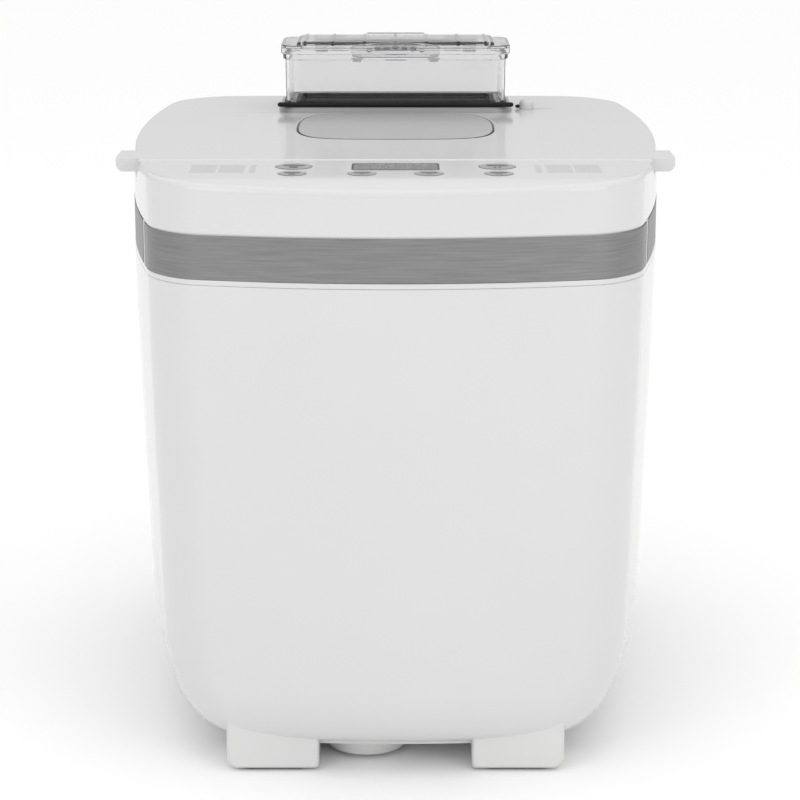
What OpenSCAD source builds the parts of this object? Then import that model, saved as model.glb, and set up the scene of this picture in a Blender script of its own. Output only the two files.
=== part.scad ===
// Bread machine with a hinged lid, an ingredient dispenser and a belt-driven kneading pan.
// Frame: +Z up, front at -Y, origin on the worktop under the middle of the body. Millimetres.

/* [Body] */
// Width of the body at its widest, at the steel band
body_w = 283; // [270:1:345]
// Depth of the body from front to rear
body_d = 340; // [336:1:410]
// Height of the top of the lid above the worktop
deck_z = 305; // [270:1:350]
// Height of the feet under the base
foot_h = 13; // [11:0.5:16]
// Radius of the front corners in plan
front_r = 25; // [15:1:40]
// Radius of the rear corners in plan
rear_r = 32; // [20:1:45]
// How far the front bows out between its corners
front_bow = 15.5; // [4:0.5:20]
// How far the rear bows out between its corners
rear_bow = 6; // [2:0.5:12]
// Share by which the sides draw in towards front and rear
side_bow = 0.51; // [0.3:0.01:0.6]
// Distance of the widest place behind the front
wide_at = 199; // [150:1:230]
// Wall of the plastic shells
wall = 2.5; // [2:0.1:3.5]
// How far the sides draw in from the band down to the bottom
side_draft = 8; // [2:0.5:10]

/* [Steel band] */
// Distance from the lid top down to the band
band_drop = 26.5; // [20:0.5:34]
// Height of the band
band_h = 22; // [14:0.5:30]
// Thickness of the band
band_t = 0.8; // [0.5:0.1:1.2]
// Where the front band meets the side bands, behind the front
band_joint = 49; // [40:1:70]

/* [Lid] */
// Distance of the lid's front edge behind the front of the body
lid_front = 77; // [70:1:90]
// Height of the lid's skirt
skirt_h = 8; // [6:0.5:11]
// Width of the viewing window
window_w = 110; // [80:1:120]
// Length of the viewing window
window_l = 99; // [70:1:104]
// How far the lid's two lifting tabs stand out past the body's sides
tab_out = 0.9; // [0:0.1:12]
// Thickness of the lid, from its top to its liner
lid_thick = 32; // [28:1:36]

/* [Dispenser] */
// Width of the clear dispenser box
hopper_w = 128; // [100:1:134]
// Depth of the clear dispenser box, front to rear
hopper_d = 53; // [40:1:56]
// Height of the box's rim above the lid
hopper_h = 34; // [25:1:45]
// Wall of the clear box
hopper_wall = 2; // [1.5:0.1:2.5]

/* [Controls] */
// Width of the display lens
display_w = 43; // [34:1:50]
// Length of the display lens
display_l = 20; // [14:1:24]
// Radius of the two large keys
big_key_r = 9.1; // [7:0.1:10]
// Radius of the four small keys
small_key_r = 6.9; // [5:0.1:7.5]
// Travel of a key
key_travel = 1; // [0.6:0.1:1.4]

/* [Oven and pan] */
// Width of the oven chamber
chamber_w = 175; // [165:1:182]
// Length of the oven chamber
chamber_l = 204; // [196:1:210]
// Width of the bread pan
pan_w = 132; // [120:1:140]
// Length of the bread pan
pan_l = 176; // [150:1:178]
// Height of the bread pan's wall
pan_h = 148; // [120:1:152]
// Radius of the drive shafts
shaft_r = 4; // [3:0.1:5]
// Radius of the large pulley
big_pulley_r = 45; // [35:1:50]
// Radius of the motor's pulley
small_pulley_r = 9; // [7:0.5:12]

/* [Hidden] */
$fn = 48;

// Hinge of the lid stands behind the body's outline
knuckle_r = 5;
hinge_pin_r = 2.5;
hinge_back = 4;
hinge_out = hinge_back + knuckle_r;
half_w = body_w / 2;
front_y = -(body_d + hinge_out) / 2;
rear_y = front_y + body_d;
hinge_y = rear_y + hinge_back;

base_t = 2.5;
shell_z = foot_h + base_t;
band_top = deck_z - band_drop;
band_low = band_top - band_h;
lip_z = band_low - 2.5;
seam_z = deck_z - skirt_h;
hinge_z = seam_z;
split_y = front_y + lid_front;
seam_gap = 0.5;
gap = 0.3;
running = 0.05;
trim_in = 0.5;
lid_in = 1.2;

// Rounding of the shell's lower edge: across, along and upwards
bottom_rx = 33;
bottom_ry = 16;
bottom_rz = 55;
bottom_ryz = 30;

// Lid, well and oven
top_t = 3;
key_deck = deck_z - 0.4;
well_w = body_w - 58;
well_y0 = split_y + 3;
well_y1 = rear_y - 8;
well_l = well_y1 - well_y0;
well_y = (well_y0 + well_y1) / 2;
well_z = deck_z - lid_thick - 6;
well_t = 3;
seal_w = 6;
liner_z = deck_z - lid_thick;
liner_t = 1.2;
liner_w = well_w - 9;
liner_l = well_l - 9;
liner_y = well_y + 0.5;
oven_y = rear_y - 139.5;
oven_floor = foot_h + 46;
oven_r = 20;
sheet = 1;
pan_z = oven_floor + 26;
pan_r = 22;
pan_wall = 1.5;
pan_rim = pan_z + pan_h;
rim_w = 3;
socket_r = 36;
seat_r = 30;
seat_z = oven_floor + sheet + 5;
window_y = rear_y - 138;

// Drive
motor_x = -15;
motor_y = front_y + 50;
motor_r = 33;
motor_h = 72;
cover_r = 23.8;
pulley_z = foot_h + 10;
pulley_h = 10;
belt_t = 2;
chassis_z = pulley_z + pulley_h + 6;
chassis_t = 2;
motor_foot = chassis_z + chassis_t;
dog_z = oven_floor + sheet + 3;

// Dispenser
hopper_y = rear_y - 54.5;
collar_h = 3.4;
collar_w = hopper_w + 7;
collar_d = hopper_d + 7;
collar_z = deck_z + collar_h;
seal_h = 3;
chute_w = hopper_w - 8;
chute_d = hopper_d - 7;
rim_z = deck_z + hopper_h;
hopper_r = 9;
hopper_floor = 1.5;
hopper_pin_r = 1.2;
hopper_pin_y = hopper_y + hopper_d / 2 + 2.6;
hopper_pin_z = rim_z + 1.5;
flap_t = 2;
flap_pin_r = 1.2;
flap_y = hopper_y + chute_d / 2 - 2.5;
flap_z = collar_z - 1.5;
catch_x = hopper_w / 2 + 12.5;
catch_y = hopper_y - 10;
catch_travel = 4;
plunger_travel = 6;
latch_travel = 2.5;

// Controls
display_y = front_y + 56.3;
big_key_y = front_y + 56.8;
small_key_y = front_y + 35.5;
outer_key_x = 50.5;
inner_key_x = 16.4;
key_proud = 0.4;
key_play = 0.3;
board_z = deck_z - 19;
board_t = 1.6;
switch_top = board_z + board_t + 5.4;

// Feet and screws
foot_in = 39;
foot_out = 86;
foot_l = 34;
pad_h = 1.5;
foot_x = 62;
foot_ys = [front_y + 31, rear_y - 42];
cover_drop = 6;
screw_r = 2.2;
post_xs = [-58, 58];
post_ys = [oven_y - 86, oven_y + 66];

// ---------- outlines ----------
function arc(cx, cy, r, from, to, n) =
    [for (i = [0:n]) let (a = from + (to - from) * i / n) [cx + r * cos(a), cy + r * sin(a)]];
function run(a, b, n) = [for (i = [1:n - 1]) a + (b - a) * i / n];

// A rounded rectangle with points along its sides, so that it can be bowed
function block_outline(x, y0, y1, rf, rr) = concat(
    arc(x - rf, y0 + rf, rf, -90, 0, 6), run([x, y0 + rf], [x, y1 - rr], 8),
    arc(x - rr, y1 - rr, rr, 0, 90, 6), run([x - rr, y1], [-x + rr, y1], 8),
    arc(-x + rr, y1 - rr, rr, 90, 180, 6), run([-x, y1 - rr], [-x, y0 + rf], 8),
    arc(-x + rf, y0 + rf, rf, 180, 270, 6), run([-x + rf, y0], [x - rf, y0], 8));

function bowed(p) = let (back = p.y - front_y, u = p.x / half_w)
    [p.x * (1 - side_bow * pow((back - wide_at) / body_d, 2)),
     p.y + front_bow * u * u * max(0, 1 - 2 * back / body_d)
         - rear_bow * u * u * max(0, 2 * back / body_d - 1)];

// The body's outline in plan, drawn in by ix at the sides and iy at front and rear
function plan(ix = 0, iy = 0) =
    [for (p = block_outline(half_w - ix, front_y + iy, rear_y - iy, front_r, rear_r)) bowed(p)];

// How far the shell draws in at a height: the sides' slope and then the rounded lower edge
function slope_in(z) = side_draft * pow(max(0, lip_z - z) / (lip_z - shell_z), 1.3);
function round_in(t, r, rise) = t >= rise ? 0 : r * (1 - sqrt(1 - pow(1 - t / rise, 2)));
function side_in(z) = slope_in(z) + round_in(z - shell_z, bottom_rx, bottom_rz);
function fore_in(z) = slope_in(z) / 3 + round_in(z - shell_z, bottom_ry, bottom_ryz);

module solid_plan(inset, z0, z1) {
    translate([0, 0, z0]) linear_extrude(z1 - z0) polygon(plan(inset, inset));
}

module ring_plan(outer, inner, z0, z1) {
    translate([0, 0, z0]) linear_extrude(z1 - z0) difference() {
        polygon(plan(outer, outer));
        polygon(plan(inner, inner));
    }
}

// A rounded rectangle centred at (x, y)
module pad(w, l, r, x = 0, y = 0) {
    translate([x, y]) {
        square([w - 2 * r, l], center = true);
        square([w, l - 2 * r], center = true);
        for (sx = [-1, 1], sy = [-1, 1]) translate([sx * (w / 2 - r), sy * (l / 2 - r)]) circle(r);
    }
}

module slab(w, l, r, x, y, z0, z1) {
    translate([0, 0, z0]) linear_extrude(z1 - z0) pad(w, l, r, x, y);
}

module frame_slab(w, l, r, t, x, y, z0, z1) {
    translate([0, 0, z0]) linear_extrude(z1 - z0) difference() {
        pad(w, l, r, x, y);
        pad(w - 2 * t, l - 2 * t, max(r - t, 0.5), x, y);
    }
}

module box(x0, x1, y0, y1, z0, z1) {
    translate([x0, y0, z0]) cube([x1 - x0, y1 - y0, z1 - z0]);
}

module disc(x, y, r, z0, z1) {
    translate([x, y, z0]) cylinder(r = r, h = z1 - z0);
}

module rod_x(x0, x1, y, z, r) {
    translate([x0, y, z]) rotate([0, 90, 0]) cylinder(r = r, h = x1 - x0);
}

module rod_y(y0, y1, x, z, r) {
    translate([x, y1, z]) rotate([90, 0, 0]) cylinder(r = r, h = y1 - y0);
}

// ---------- lower body ----------
round_steps = [0, 0.03, 0.1, 0.22, 0.38, 0.57, 0.78, 1];
wall_steps = [0.35, 0.68, 1];
heights = concat([for (t = round_steps) shell_z + bottom_rz * t],
    [for (s = wall_steps) shell_z + bottom_rz + (lip_z - shell_z - bottom_rz) * s]);

function shell_ring(z, t) = [for (p = plan(side_in(z) + t, fore_in(z) + t)) [p.x, p.y, z]];
function strip(a, b, n) = [for (i = [0:n - 1]) let (j = (i + 1) % n)
    each [[a + i, b + i, a + j], [a + j, b + i, b + j]]];

module housing_skin() {
    n = len(plan());
    k = len(heights);
    points = concat([for (z = heights) each shell_ring(z, 0)],
        [for (z = heights) each shell_ring(z, wall)]);
    skin = [for (r = [0:k - 2]) each strip((r + 1) * n, r * n, n)];
    lining = [for (r = [0:k - 2]) each strip((k + r) * n, (k + r + 1) * n, n)];
    rim = strip((2 * k - 1) * n, (k - 1) * n, n);
    base = strip(0, k * n, n);
    polyhedron(points, [for (f = concat(skin, lining, rim, base)) [f[2], f[1], f[0]]]);
}

gland_x = -60;
gland_z = foot_h + 38;
gland_r = 7;
gland_bore = 3.6;
vent_rows = 7;

module lower_housing() {
    color("whitesmoke") difference() {
        housing_skin();
        rod_y(rear_y - 15, rear_y + 2, gland_x, gland_z, gland_r);
        for (row = [0:vent_rows - 1], side = [-1, 1])
            box(side * 45 - 30, side * 45 + 30, rear_y - 12, rear_y + 2,
                deck_z - 84 - row * 9, deck_z - 81 - row * 9);
    }
}

base_in = side_draft + bottom_rx + 0.8;
base_fore = side_draft / 3 + bottom_ry + 0.8;

module base_plate() {
    color("gainsboro") difference() {
        translate([0, 0, foot_h]) linear_extrude(base_t) polygon(plan(base_in, base_fore));
        for (row = [0:4], side = [-1, 1])
            slab(34, 4, 1.9, side * 34, oven_y + 40 + row * 9, foot_h - 1, shell_z + 1);
        disc(motor_x, motor_y, cover_r - 5, foot_h - 1, shell_z + 1);
        for (x = [-foot_x, foot_x], y = foot_ys) disc(x, y, screw_r, foot_h - 1, shell_z + 1);
    }
}

module motor_cover() {
    color("whitesmoke") difference() {
        union() {
            disc(motor_x, motor_y, cover_r, foot_h - cover_drop + 3, foot_h);
            translate([motor_x, motor_y, foot_h - cover_drop])
                cylinder(r1 = cover_r - 4, r2 = cover_r, h = 3);
        }
        disc(motor_x, motor_y, cover_r - 5, foot_h - cover_drop + 1.5, foot_h + 1);
    }
}

module foot(y) {
    r = 5.5;
    y0 = y - foot_l / 2;
    difference() {
        translate([0, y0 + foot_l, 0]) rotate([90, 0, 0]) linear_extrude(foot_l) union() {
            translate([foot_in, pad_h]) square([foot_out - foot_in - r, foot_h - pad_h]);
            translate([foot_in, pad_h + r]) square([foot_out - foot_in, foot_h - pad_h - r]);
            intersection() {
                translate([foot_out - r, pad_h + r]) circle(r);
                translate([foot_in, pad_h]) square([foot_out, foot_h - pad_h]);
            }
        }
        disc(foot_x, y, 4, pad_h - 1, pad_h + 4);
        disc(foot_x, y, screw_r, pad_h, foot_h + 1);
    }
}

module feet(y) {
    for (side = [0, 1]) mirror([side, 0, 0]) foot(y);
}

module front_feet() {
    color("whitesmoke") feet(foot_ys[0]);
}

module rear_feet() {
    color("whitesmoke") feet(foot_ys[1]);
}

module foot_pads() {
    color("dimgray") for (x = [-foot_x, foot_x], y = foot_ys) difference() {
        slab(34, 26, 4, x, y, 0, pad_h);
        disc(x, y, 4.4, -1, pad_h + 1);
    }
}

module base_screws() {
    color("silver") for (x = [-foot_x, foot_x], y = foot_ys) difference() {
        union() {
            disc(x, y, 3.8, pad_h + 1.6, pad_h + 4);
            disc(x, y, screw_r, pad_h + 4, shell_z + 6);
        }
        for (a = [0, 90]) translate([x, y, pad_h + 1.4]) rotate([0, 0, a])
            cube([4, 0.9, 2.2], center = true);
    }
}

// ---------- upper body ----------
module key_holes(extra, z0, z1) {
    for (x = [-outer_key_x, outer_key_x]) disc(x, big_key_y, big_key_r + extra, z0, z1);
    for (x = [-outer_key_x, -inner_key_x, inner_key_x, outer_key_x])
        disc(x, small_key_y, small_key_r + extra, z0, z1);
}

// Everything in front of a line across the body, or everything behind it
module before(y, z0, z1) {
    box(-half_w - 9, half_w + 9, front_y - 9, y, z0, z1);
}

module behind(y, z0, z1) {
    box(-half_w - 9, half_w + 9, y, rear_y + 9, z0, z1);
}

rib_w = 2.5;
band_y = front_y + band_joint;

module frame_knuckles() {
    for (side = [-1, 1], dx = [-11.5, 11.5]) {
        rod_x(side * 70 + dx - 4.5, side * 70 + dx + 4.5, hinge_y, hinge_z, knuckle_r);
        box(side * 70 + dx - 4.5, side * 70 + dx + 4.5, rear_y - 4, hinge_y, hinge_z - 9, hinge_z - 1);
    }
}

module upper_frame() {
    color("whitesmoke") difference() {
        union() {
            ring_plan(0, wall + 0.8, lip_z, band_low);
            ring_plan(band_t + 0.2, wall + 0.8, band_low, band_top);
            ring_plan(trim_in, wall + 0.8, band_top, seam_z - seam_gap);
            intersection() {
                ring_plan(0.1, wall, band_low, band_top);
                for (side = [-1, 1]) translate([side * half_w, 0, 0])
                    box(-25, 25, band_y, band_y + rib_w, band_low, band_top);
            }
            intersection() {
                ring_plan(trim_in, wall + 0.8, seam_z - 1, key_deck - 1);
                before(split_y - 0.25, seam_z - 1, key_deck);
            }
            intersection() {
                solid_plan(trim_in, key_deck - top_t, key_deck);
                before(split_y - 0.25, key_deck - top_t, key_deck);
            }
            intersection() {
                solid_plan(trim_in + 1, well_z, key_deck - 1);
                box(-half_w, half_w, split_y - 2.75, split_y - 0.25, well_z, key_deck - 1);
            }
            intersection() {
                solid_plan(trim_in, seam_z - 3, seam_z - seam_gap);
                behind(split_y - 0.4, seam_z - 3, seam_z - seam_gap);
            }
            solid_plan(wall, well_z, well_z + well_t);
            slab(well_w + 5, well_l + 5, 16, 0, well_y, well_z, seam_z - seam_gap);
            for (x = [-70, 70], y = [small_key_y - 2, big_key_y + 6])
                disc(x, y, 3, board_z + board_t, key_deck - 1);
            frame_knuckles();
        }
        slab(well_w, well_l, 14, 0, well_y, well_z + well_t, deck_z);
        slab(chamber_w - 2 * sheet, chamber_l - 2 * sheet, oven_r - sheet, 0, oven_y, well_z - 1, deck_z);
        key_holes(key_play, key_deck - top_t - 1, key_deck + 1);
        slab(display_w, display_l, 2, 0, display_y, key_deck - 1.8, key_deck + 1);
        slab(display_w - 4, display_l - 4, 1, 0, display_y, key_deck - top_t - 1, key_deck + 1);
        for (side = [-1, 1]) rod_x(side * 70 - 17, side * 70 + 17, hinge_y, hinge_z, hinge_pin_r);
        for (side = [-1, 1]) rod_x(side * 70 - 6.6, side * 70 + 6.6, hinge_y, hinge_z, knuckle_r + 0.4);
    }
}

module band() {
    ring_plan(0.2, band_t + 0.2, band_low, band_top);
}

module trim_band_front() {
    color("silver") intersection() {
        band();
        before(band_y, band_low, band_top);
    }
}

module trim_band_side() {
    intersection() {
        band();
        box(0, half_w + 9, band_y + rib_w, rear_y - 40, band_low, band_top);
    }
}

module trim_band_left() {
    color("silver") mirror([1, 0, 0]) trim_band_side();
}

module trim_band_right() {
    color("silver") trim_band_side();
}

// ---------- controls ----------
module display_lens() {
    color("dimgray") slab(display_w, display_l, 2, 0, display_y, key_deck - 1.8, key_deck + 0.2);
}

module display_module() {
    color("darkseagreen") slab(display_w + 3, display_l + 4, 1, 0, display_y,
        board_z + board_t, key_deck - top_t);
}

module control_board() {
    color("seagreen") slab(156, 50, 2, 0, front_y + 44, board_z, board_z + board_t);
}

module key_switches() {
    color("black") {
        for (x = [-outer_key_x, outer_key_x]) box(x - 3, x + 3, big_key_y - 3, big_key_y + 3,
            board_z + board_t, switch_top);
        for (x = [-outer_key_x, -inner_key_x, inner_key_x, outer_key_x])
            box(x - 3, x + 3, small_key_y - 3, small_key_y + 3, board_z + board_t, switch_top);
    }
}

module key_cap(x, y, r) {
    under = key_deck - top_t;
    disc(x, y, r, under - 1.4, key_deck + key_proud);
    disc(x, y, r + 1.2, under - 1.4, under - 0.1);
    disc(x, y, 2.5, switch_top + key_travel + 0.2, under - 1.4);
}

module menu_button() {
    color("dimgray") key_cap(-outer_key_x, big_key_y, big_key_r);
}

module start_button() {
    color("dimgray") key_cap(outer_key_x, big_key_y, big_key_r);
}

module plus_button() {
    color("dimgray") key_cap(-inner_key_x, small_key_y, small_key_r);
}

module minus_button() {
    color("dimgray") key_cap(inner_key_x, small_key_y, small_key_r);
}

module loaf_button() {
    color("dimgray") key_cap(-outer_key_x, small_key_y, small_key_r);
}

module crust_button() {
    color("dimgray") key_cap(outer_key_x, small_key_y, small_key_r);
}

// ---------- oven ----------
heater_w = pan_w + 24;
heater_l = pan_l + 12;
heater_r = 3.5;
heater_z = oven_floor + 20;
heater_bend = 22;
probe_x = 40;
probe_r = 3;

module oven_chamber() {
    color("lightgray") difference() {
        union() {
            slab(chamber_w, chamber_l, oven_r, 0, oven_y, oven_floor, well_z);
            slab(chamber_w + 8, chamber_l + 8, oven_r + 4, 0, oven_y, well_z - sheet, well_z);
        }
        slab(chamber_w - 2 * sheet, chamber_l - 2 * sheet, oven_r - sheet, 0, oven_y,
            oven_floor + sheet, well_z + 1);
        disc(0, oven_y, 14, oven_floor - 1, oven_floor + 2);
        rod_y(oven_y - chamber_l / 2 - 2, oven_y - chamber_l / 2 + 2, probe_x, oven_floor + 54, probe_r);
        for (x = [-12, 12])
            rod_y(oven_y - chamber_l / 2 - 2, oven_y - chamber_l / 2 + 2, x, heater_z, heater_r);
    }
}

module bend(x, y, turn) {
    translate([x, y, heater_z]) rotate([0, 0, turn]) rotate_extrude(angle = 90)
        translate([heater_bend, 0]) circle(heater_r);
}

module heating_element() {
    hx = heater_w / 2;
    hy = heater_l / 2;
    b = heater_bend;
    color("dimgray") {
        for (side = [-1, 1]) {
            rod_y(oven_y - hy + b, oven_y + hy - b, side * hx, heater_z, heater_r);
            rod_x(side < 0 ? -hx + b : 12, side < 0 ? -12 : hx - b, oven_y - hy, heater_z, heater_r);
            translate([side * 12, oven_y - hy, heater_z]) sphere(heater_r);
            rod_y(oven_y - chamber_l / 2 - 12, oven_y - hy, side * 12, heater_z, heater_r);
        }
        rod_x(-hx + b, hx - b, oven_y + hy, heater_z, heater_r);
        bend(hx - b, oven_y + hy - b, 0);
        bend(-hx + b, oven_y + hy - b, 90);
        bend(-hx + b, oven_y - hy + b, 180);
        bend(hx - b, oven_y - hy + b, 270);
    }
}

module heater_clips() {
    color("silver") for (side = [-1, 1], y = [-45, 45]) difference() {
        box(side > 0 ? heater_w / 2 - 2 : -chamber_w / 2 + sheet,
            side > 0 ? chamber_w / 2 - sheet : -heater_w / 2 + 2,
            oven_y + y - 5, oven_y + y + 5, heater_z - 5.5, heater_z + 5.5);
        rod_y(oven_y + y - 6, oven_y + y + 6, side * heater_w / 2, heater_z, heater_r);
    }
}

module temperature_probe() {
    y = oven_y - chamber_l / 2;
    color("silver") {
        rod_y(y - 14, y + 7, probe_x, oven_floor + 54, probe_r);
        rod_y(y - 3, y, probe_x, oven_floor + 54, probe_r + 3);
    }
}

module pan_socket() {
    z = oven_floor + sheet;
    color("silver") difference() {
        union() {
            disc(0, oven_y, socket_r, z, z + 12);
            disc(0, oven_y, socket_r + 5, z, z + 1.5);
        }
        disc(0, oven_y, seat_r + gap, seat_z, z + 13);
        disc(0, oven_y, seat_r - 8, z - 1, z + 13);
    }
}

// ---------- drive ----------
module chassis_plate() {
    color("gray") difference() {
        slab(150, post_ys[1] - front_y + 2, 12, 0, (front_y + 14 + post_ys[1] + 16) / 2,
            chassis_z, motor_foot);
        disc(0, oven_y, shaft_r + 3, chassis_z - 1, motor_foot + 1);
        disc(motor_x, motor_y, shaft_r + 3, chassis_z - 1, motor_foot + 1);
    }
}

module chassis_posts() {
    color("silver") {
        for (x = post_xs, y = post_ys) {
            disc(x, y, 5, shell_z, chassis_z);
            disc(x, y, 5, motor_foot, oven_floor);
        }
        for (x = [34, 70], y = [motor_y - 20, motor_y + 20]) disc(x, y, 2.5, motor_foot, motor_foot + 6);
    }
}

module motor() {
    color("silver") difference() {
        union() {
            disc(motor_x, motor_y, motor_r, motor_foot, motor_foot + motor_h);
            disc(motor_x, motor_y, 10, motor_foot + motor_h, motor_foot + motor_h + 4);
        }
        disc(motor_x, motor_y, shaft_r + running, motor_foot - 1, motor_foot + 16);
        for (a = [0:45:315]) translate([motor_x, motor_y, motor_foot + 20]) rotate([0, 0, a])
            translate([motor_r - 3, -4, 0]) cube([6, 8, 34]);
    }
}

module pulley(x, y, r) {
    difference() {
        union() {
            disc(x, y, r + 2.5, pulley_z, pulley_z + 1.2);
            disc(x, y, r, pulley_z, pulley_z + pulley_h);
            disc(x, y, r + 2.5, pulley_z + pulley_h - 1.2, pulley_z + pulley_h);
        }
        disc(x, y, shaft_r, pulley_z - 1, pulley_z + pulley_h + 1);
    }
}

module motor_pulley() {
    color("gray") {
        pulley(motor_x, motor_y, small_pulley_r);
        disc(motor_x, motor_y, shaft_r, pulley_z - 3, motor_foot + 14);
    }
}

module large_pulley() {
    color("dimgray") difference() {
        pulley(0, oven_y, big_pulley_r);
        for (a = [0:60:300]) translate([0, oven_y, 0]) rotate([0, 0, a])
            disc(big_pulley_r * 0.58, 0, big_pulley_r * 0.22, pulley_z - 1, pulley_z + pulley_h + 1);
    }
}

// Outline that wraps both pulleys at a distance
function belt_path(e) = let (
    dx = motor_x, dy = motor_y - oven_y, d = norm([dx, dy]), a = atan2(dy, dx),
    b = acos((big_pulley_r - small_pulley_r) / d))
    concat(arc(0, oven_y, big_pulley_r + e, a + b, a + 360 - b, 30),
        arc(motor_x, motor_y, small_pulley_r + e, a - b, a + b, 14));

module drive_belt() {
    color("black") translate([0, 0, pulley_z + 1.6]) linear_extrude(pulley_h - 3.2) difference() {
        polygon(belt_path(gap + belt_t));
        polygon(belt_path(gap));
    }
}

module drive_shaft() {
    color("silver") disc(0, oven_y, shaft_r, pulley_z - 2, dog_z + 2);
}

module shaft_bearing() {
    color("goldenrod") difference() {
        union() {
            disc(0, oven_y, 11, motor_foot, motor_foot + 14);
            disc(0, oven_y, 18, motor_foot, motor_foot + 3);
        }
        disc(0, oven_y, shaft_r + running, motor_foot - 1, motor_foot + 15);
    }
}

module drive_coupling() {
    color("silver") {
        difference() {
            disc(0, oven_y, 12, dog_z - 1, dog_z + 2.5);
            disc(0, oven_y, shaft_r, dog_z - 2, dog_z + 2);
        }
        for (side = [-1, 1]) disc(side * 8, oven_y, 2.5, dog_z + 2.5, dog_z + 9);
    }
}

module power_board() {
    z = motor_foot + 6;
    color("seagreen") {
        box(28, 76, motor_y - 26, motor_y + 26, z, z + 1.6);
        disc(40, motor_y - 8, 8, z + 1.6, z + 26);
        box(54, 72, motor_y - 20, motor_y - 4, z + 1.6, z + 18);
        box(52, 70, motor_y + 4, motor_y + 20, z + 1.6, z + 15);
    }
}

module cord_gland() {
    y = rear_y - 3;
    color("dimgray") difference() {
        union() {
            rod_y(y - 8, y + 5, gland_x, gland_z, gland_r);
            rod_y(y + 0.6, y + 3.2, gland_x, gland_z, gland_r + 2.5);
            rod_y(y - 8, y - 5.5, gland_x, gland_z, gland_r + 1.5);
        }
        rod_y(y - 9, y + 6, gland_x, gland_z, gland_bore);
    }
}

// ---------- pan ----------
handle_z = pan_rim - 12;
arm_y = pan_l / 2 + rim_w + 3.4;
arm_r = 2.5;
arm_x = pan_w / 2 + 10;
rivet_r = 2;

module bread_pan() {
    color("gray") difference() {
        union() {
            slab(pan_w, pan_l, pan_r, 0, oven_y, pan_z, pan_rim);
            slab(pan_w + 2 * rim_w, pan_l + 2 * rim_w, pan_r + rim_w, 0, oven_y, pan_rim - 1.5, pan_rim);
        }
        slab(pan_w - 2 * pan_wall, pan_l - 2 * pan_wall, pan_r - pan_wall, 0, oven_y,
            pan_z + pan_wall, pan_rim + 1);
        disc(0, oven_y, 12, pan_z - 1, pan_z + 3);
        for (side = [-1, 1]) rod_y(oven_y + side * (pan_l / 2) - 3, oven_y + side * (pan_l / 2) + 3,
            0, handle_z, rivet_r);
    }
}

module pan_base() {
    color("silver") difference() {
        union() {
            disc(0, oven_y, seat_r, seat_z, pan_z);
            disc(0, oven_y, seat_r + 9, pan_z - 3, pan_z);
        }
        disc(0, oven_y, seat_r - 4, seat_z - 1, pan_z - 6);
        disc(0, oven_y, 12, pan_z - 7, pan_z + 1);
    }
}

module pan_bearing() {
    color("goldenrod") difference() {
        disc(0, oven_y, 12, pan_z - 6, pan_z + 3);
        disc(0, oven_y, shaft_r + running, pan_z - 7, pan_z + 4);
    }
}

module pan_shaft() {
    color("silver") {
        disc(0, oven_y, shaft_r, dog_z + 4, pan_z + 22);
        slab(5, 22, 2, 0, oven_y, dog_z + 4, dog_z + 8);
        disc(0, oven_y, shaft_r + 2, pan_z - 8, pan_z - 6.3);
    }
}

module kneading_paddle() {
    z = pan_z + 3.6;
    color("gray") difference() {
        union() {
            disc(0, oven_y, 9, z, z + 24);
            translate([0, oven_y, z]) rotate([90, 0, 0]) translate([0, 0, -2]) linear_extrude(4)
                polygon([[0, 1], [46, 1], [48, 5], [44, 16], [26, 34], [12, 38], [0, 24]]);
            box(-20, 0, oven_y - 3, oven_y + 3, z + 1, z + 12);
        }
        disc(0, oven_y, shaft_r, z - 1, pan_z + 22);
    }
}

module pan_handle() {
    color("silver") {
        for (side = [-1, 1]) difference() {
            union() {
                rod_y(oven_y + side * arm_y - arm_r, oven_y + side * arm_y + arm_r, 0, handle_z, 5);
                rod_x(0, arm_x, oven_y + side * arm_y, handle_z, arm_r);
                translate([arm_x, oven_y + side * arm_y, handle_z]) sphere(arm_r);
            }
            rod_y(oven_y + side * arm_y - 4, oven_y + side * arm_y + 4, 0, handle_z, rivet_r + running);
        }
        rod_y(oven_y - arm_y, oven_y + arm_y, arm_x, handle_z, arm_r);
        rod_y(oven_y - 38, oven_y + 38, arm_x, handle_z, arm_r + 1.8);
    }
}

module handle_rivets() {
    color("silver") for (side = [0, 1]) translate([0, oven_y, 0]) mirror([0, side, 0]) {
        rod_y(pan_l / 2 - pan_wall - 1.2, arm_y + arm_r + 0.3, 0, handle_z, rivet_r);
        rod_y(arm_y + arm_r + 0.2, arm_y + arm_r + 1.4, 0, handle_z, 4);
        rod_y(pan_l / 2 - pan_wall - 1.2, pan_l / 2 - pan_wall, 0, handle_z, 4);
        rod_y(pan_l / 2, arm_y - arm_r - 0.2, 0, handle_z, 3.4);
    }
}

// ---------- lid ----------
module lid_knuckles() {
    for (side = [-1, 1]) {
        rod_x(side * 70 - 6.2, side * 70 + 6.2, hinge_y, hinge_z, knuckle_r);
        box(side * 70 - 6.2, side * 70 + 6.2, rear_y - 4.5, hinge_y, hinge_z + 0.6, hinge_z + knuckle_r);
    }
}

module lid_tab() {
    r = 3;
    x0 = half_w - 14;
    x1 = half_w + tab_out;
    y0 = front_y + 85;
    translate([0, y0 + 25, 0]) rotate([90, 0, 0]) linear_extrude(25) union() {
        translate([x0, seam_z + 0.4]) square([x1 - r - x0, skirt_h - 0.4]);
        translate([x0, seam_z + 0.4 + r]) square([x1 - x0, skirt_h - 0.4 - r]);
        translate([x1 - r, seam_z + 0.4 + r]) circle(r);
    }
}

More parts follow.
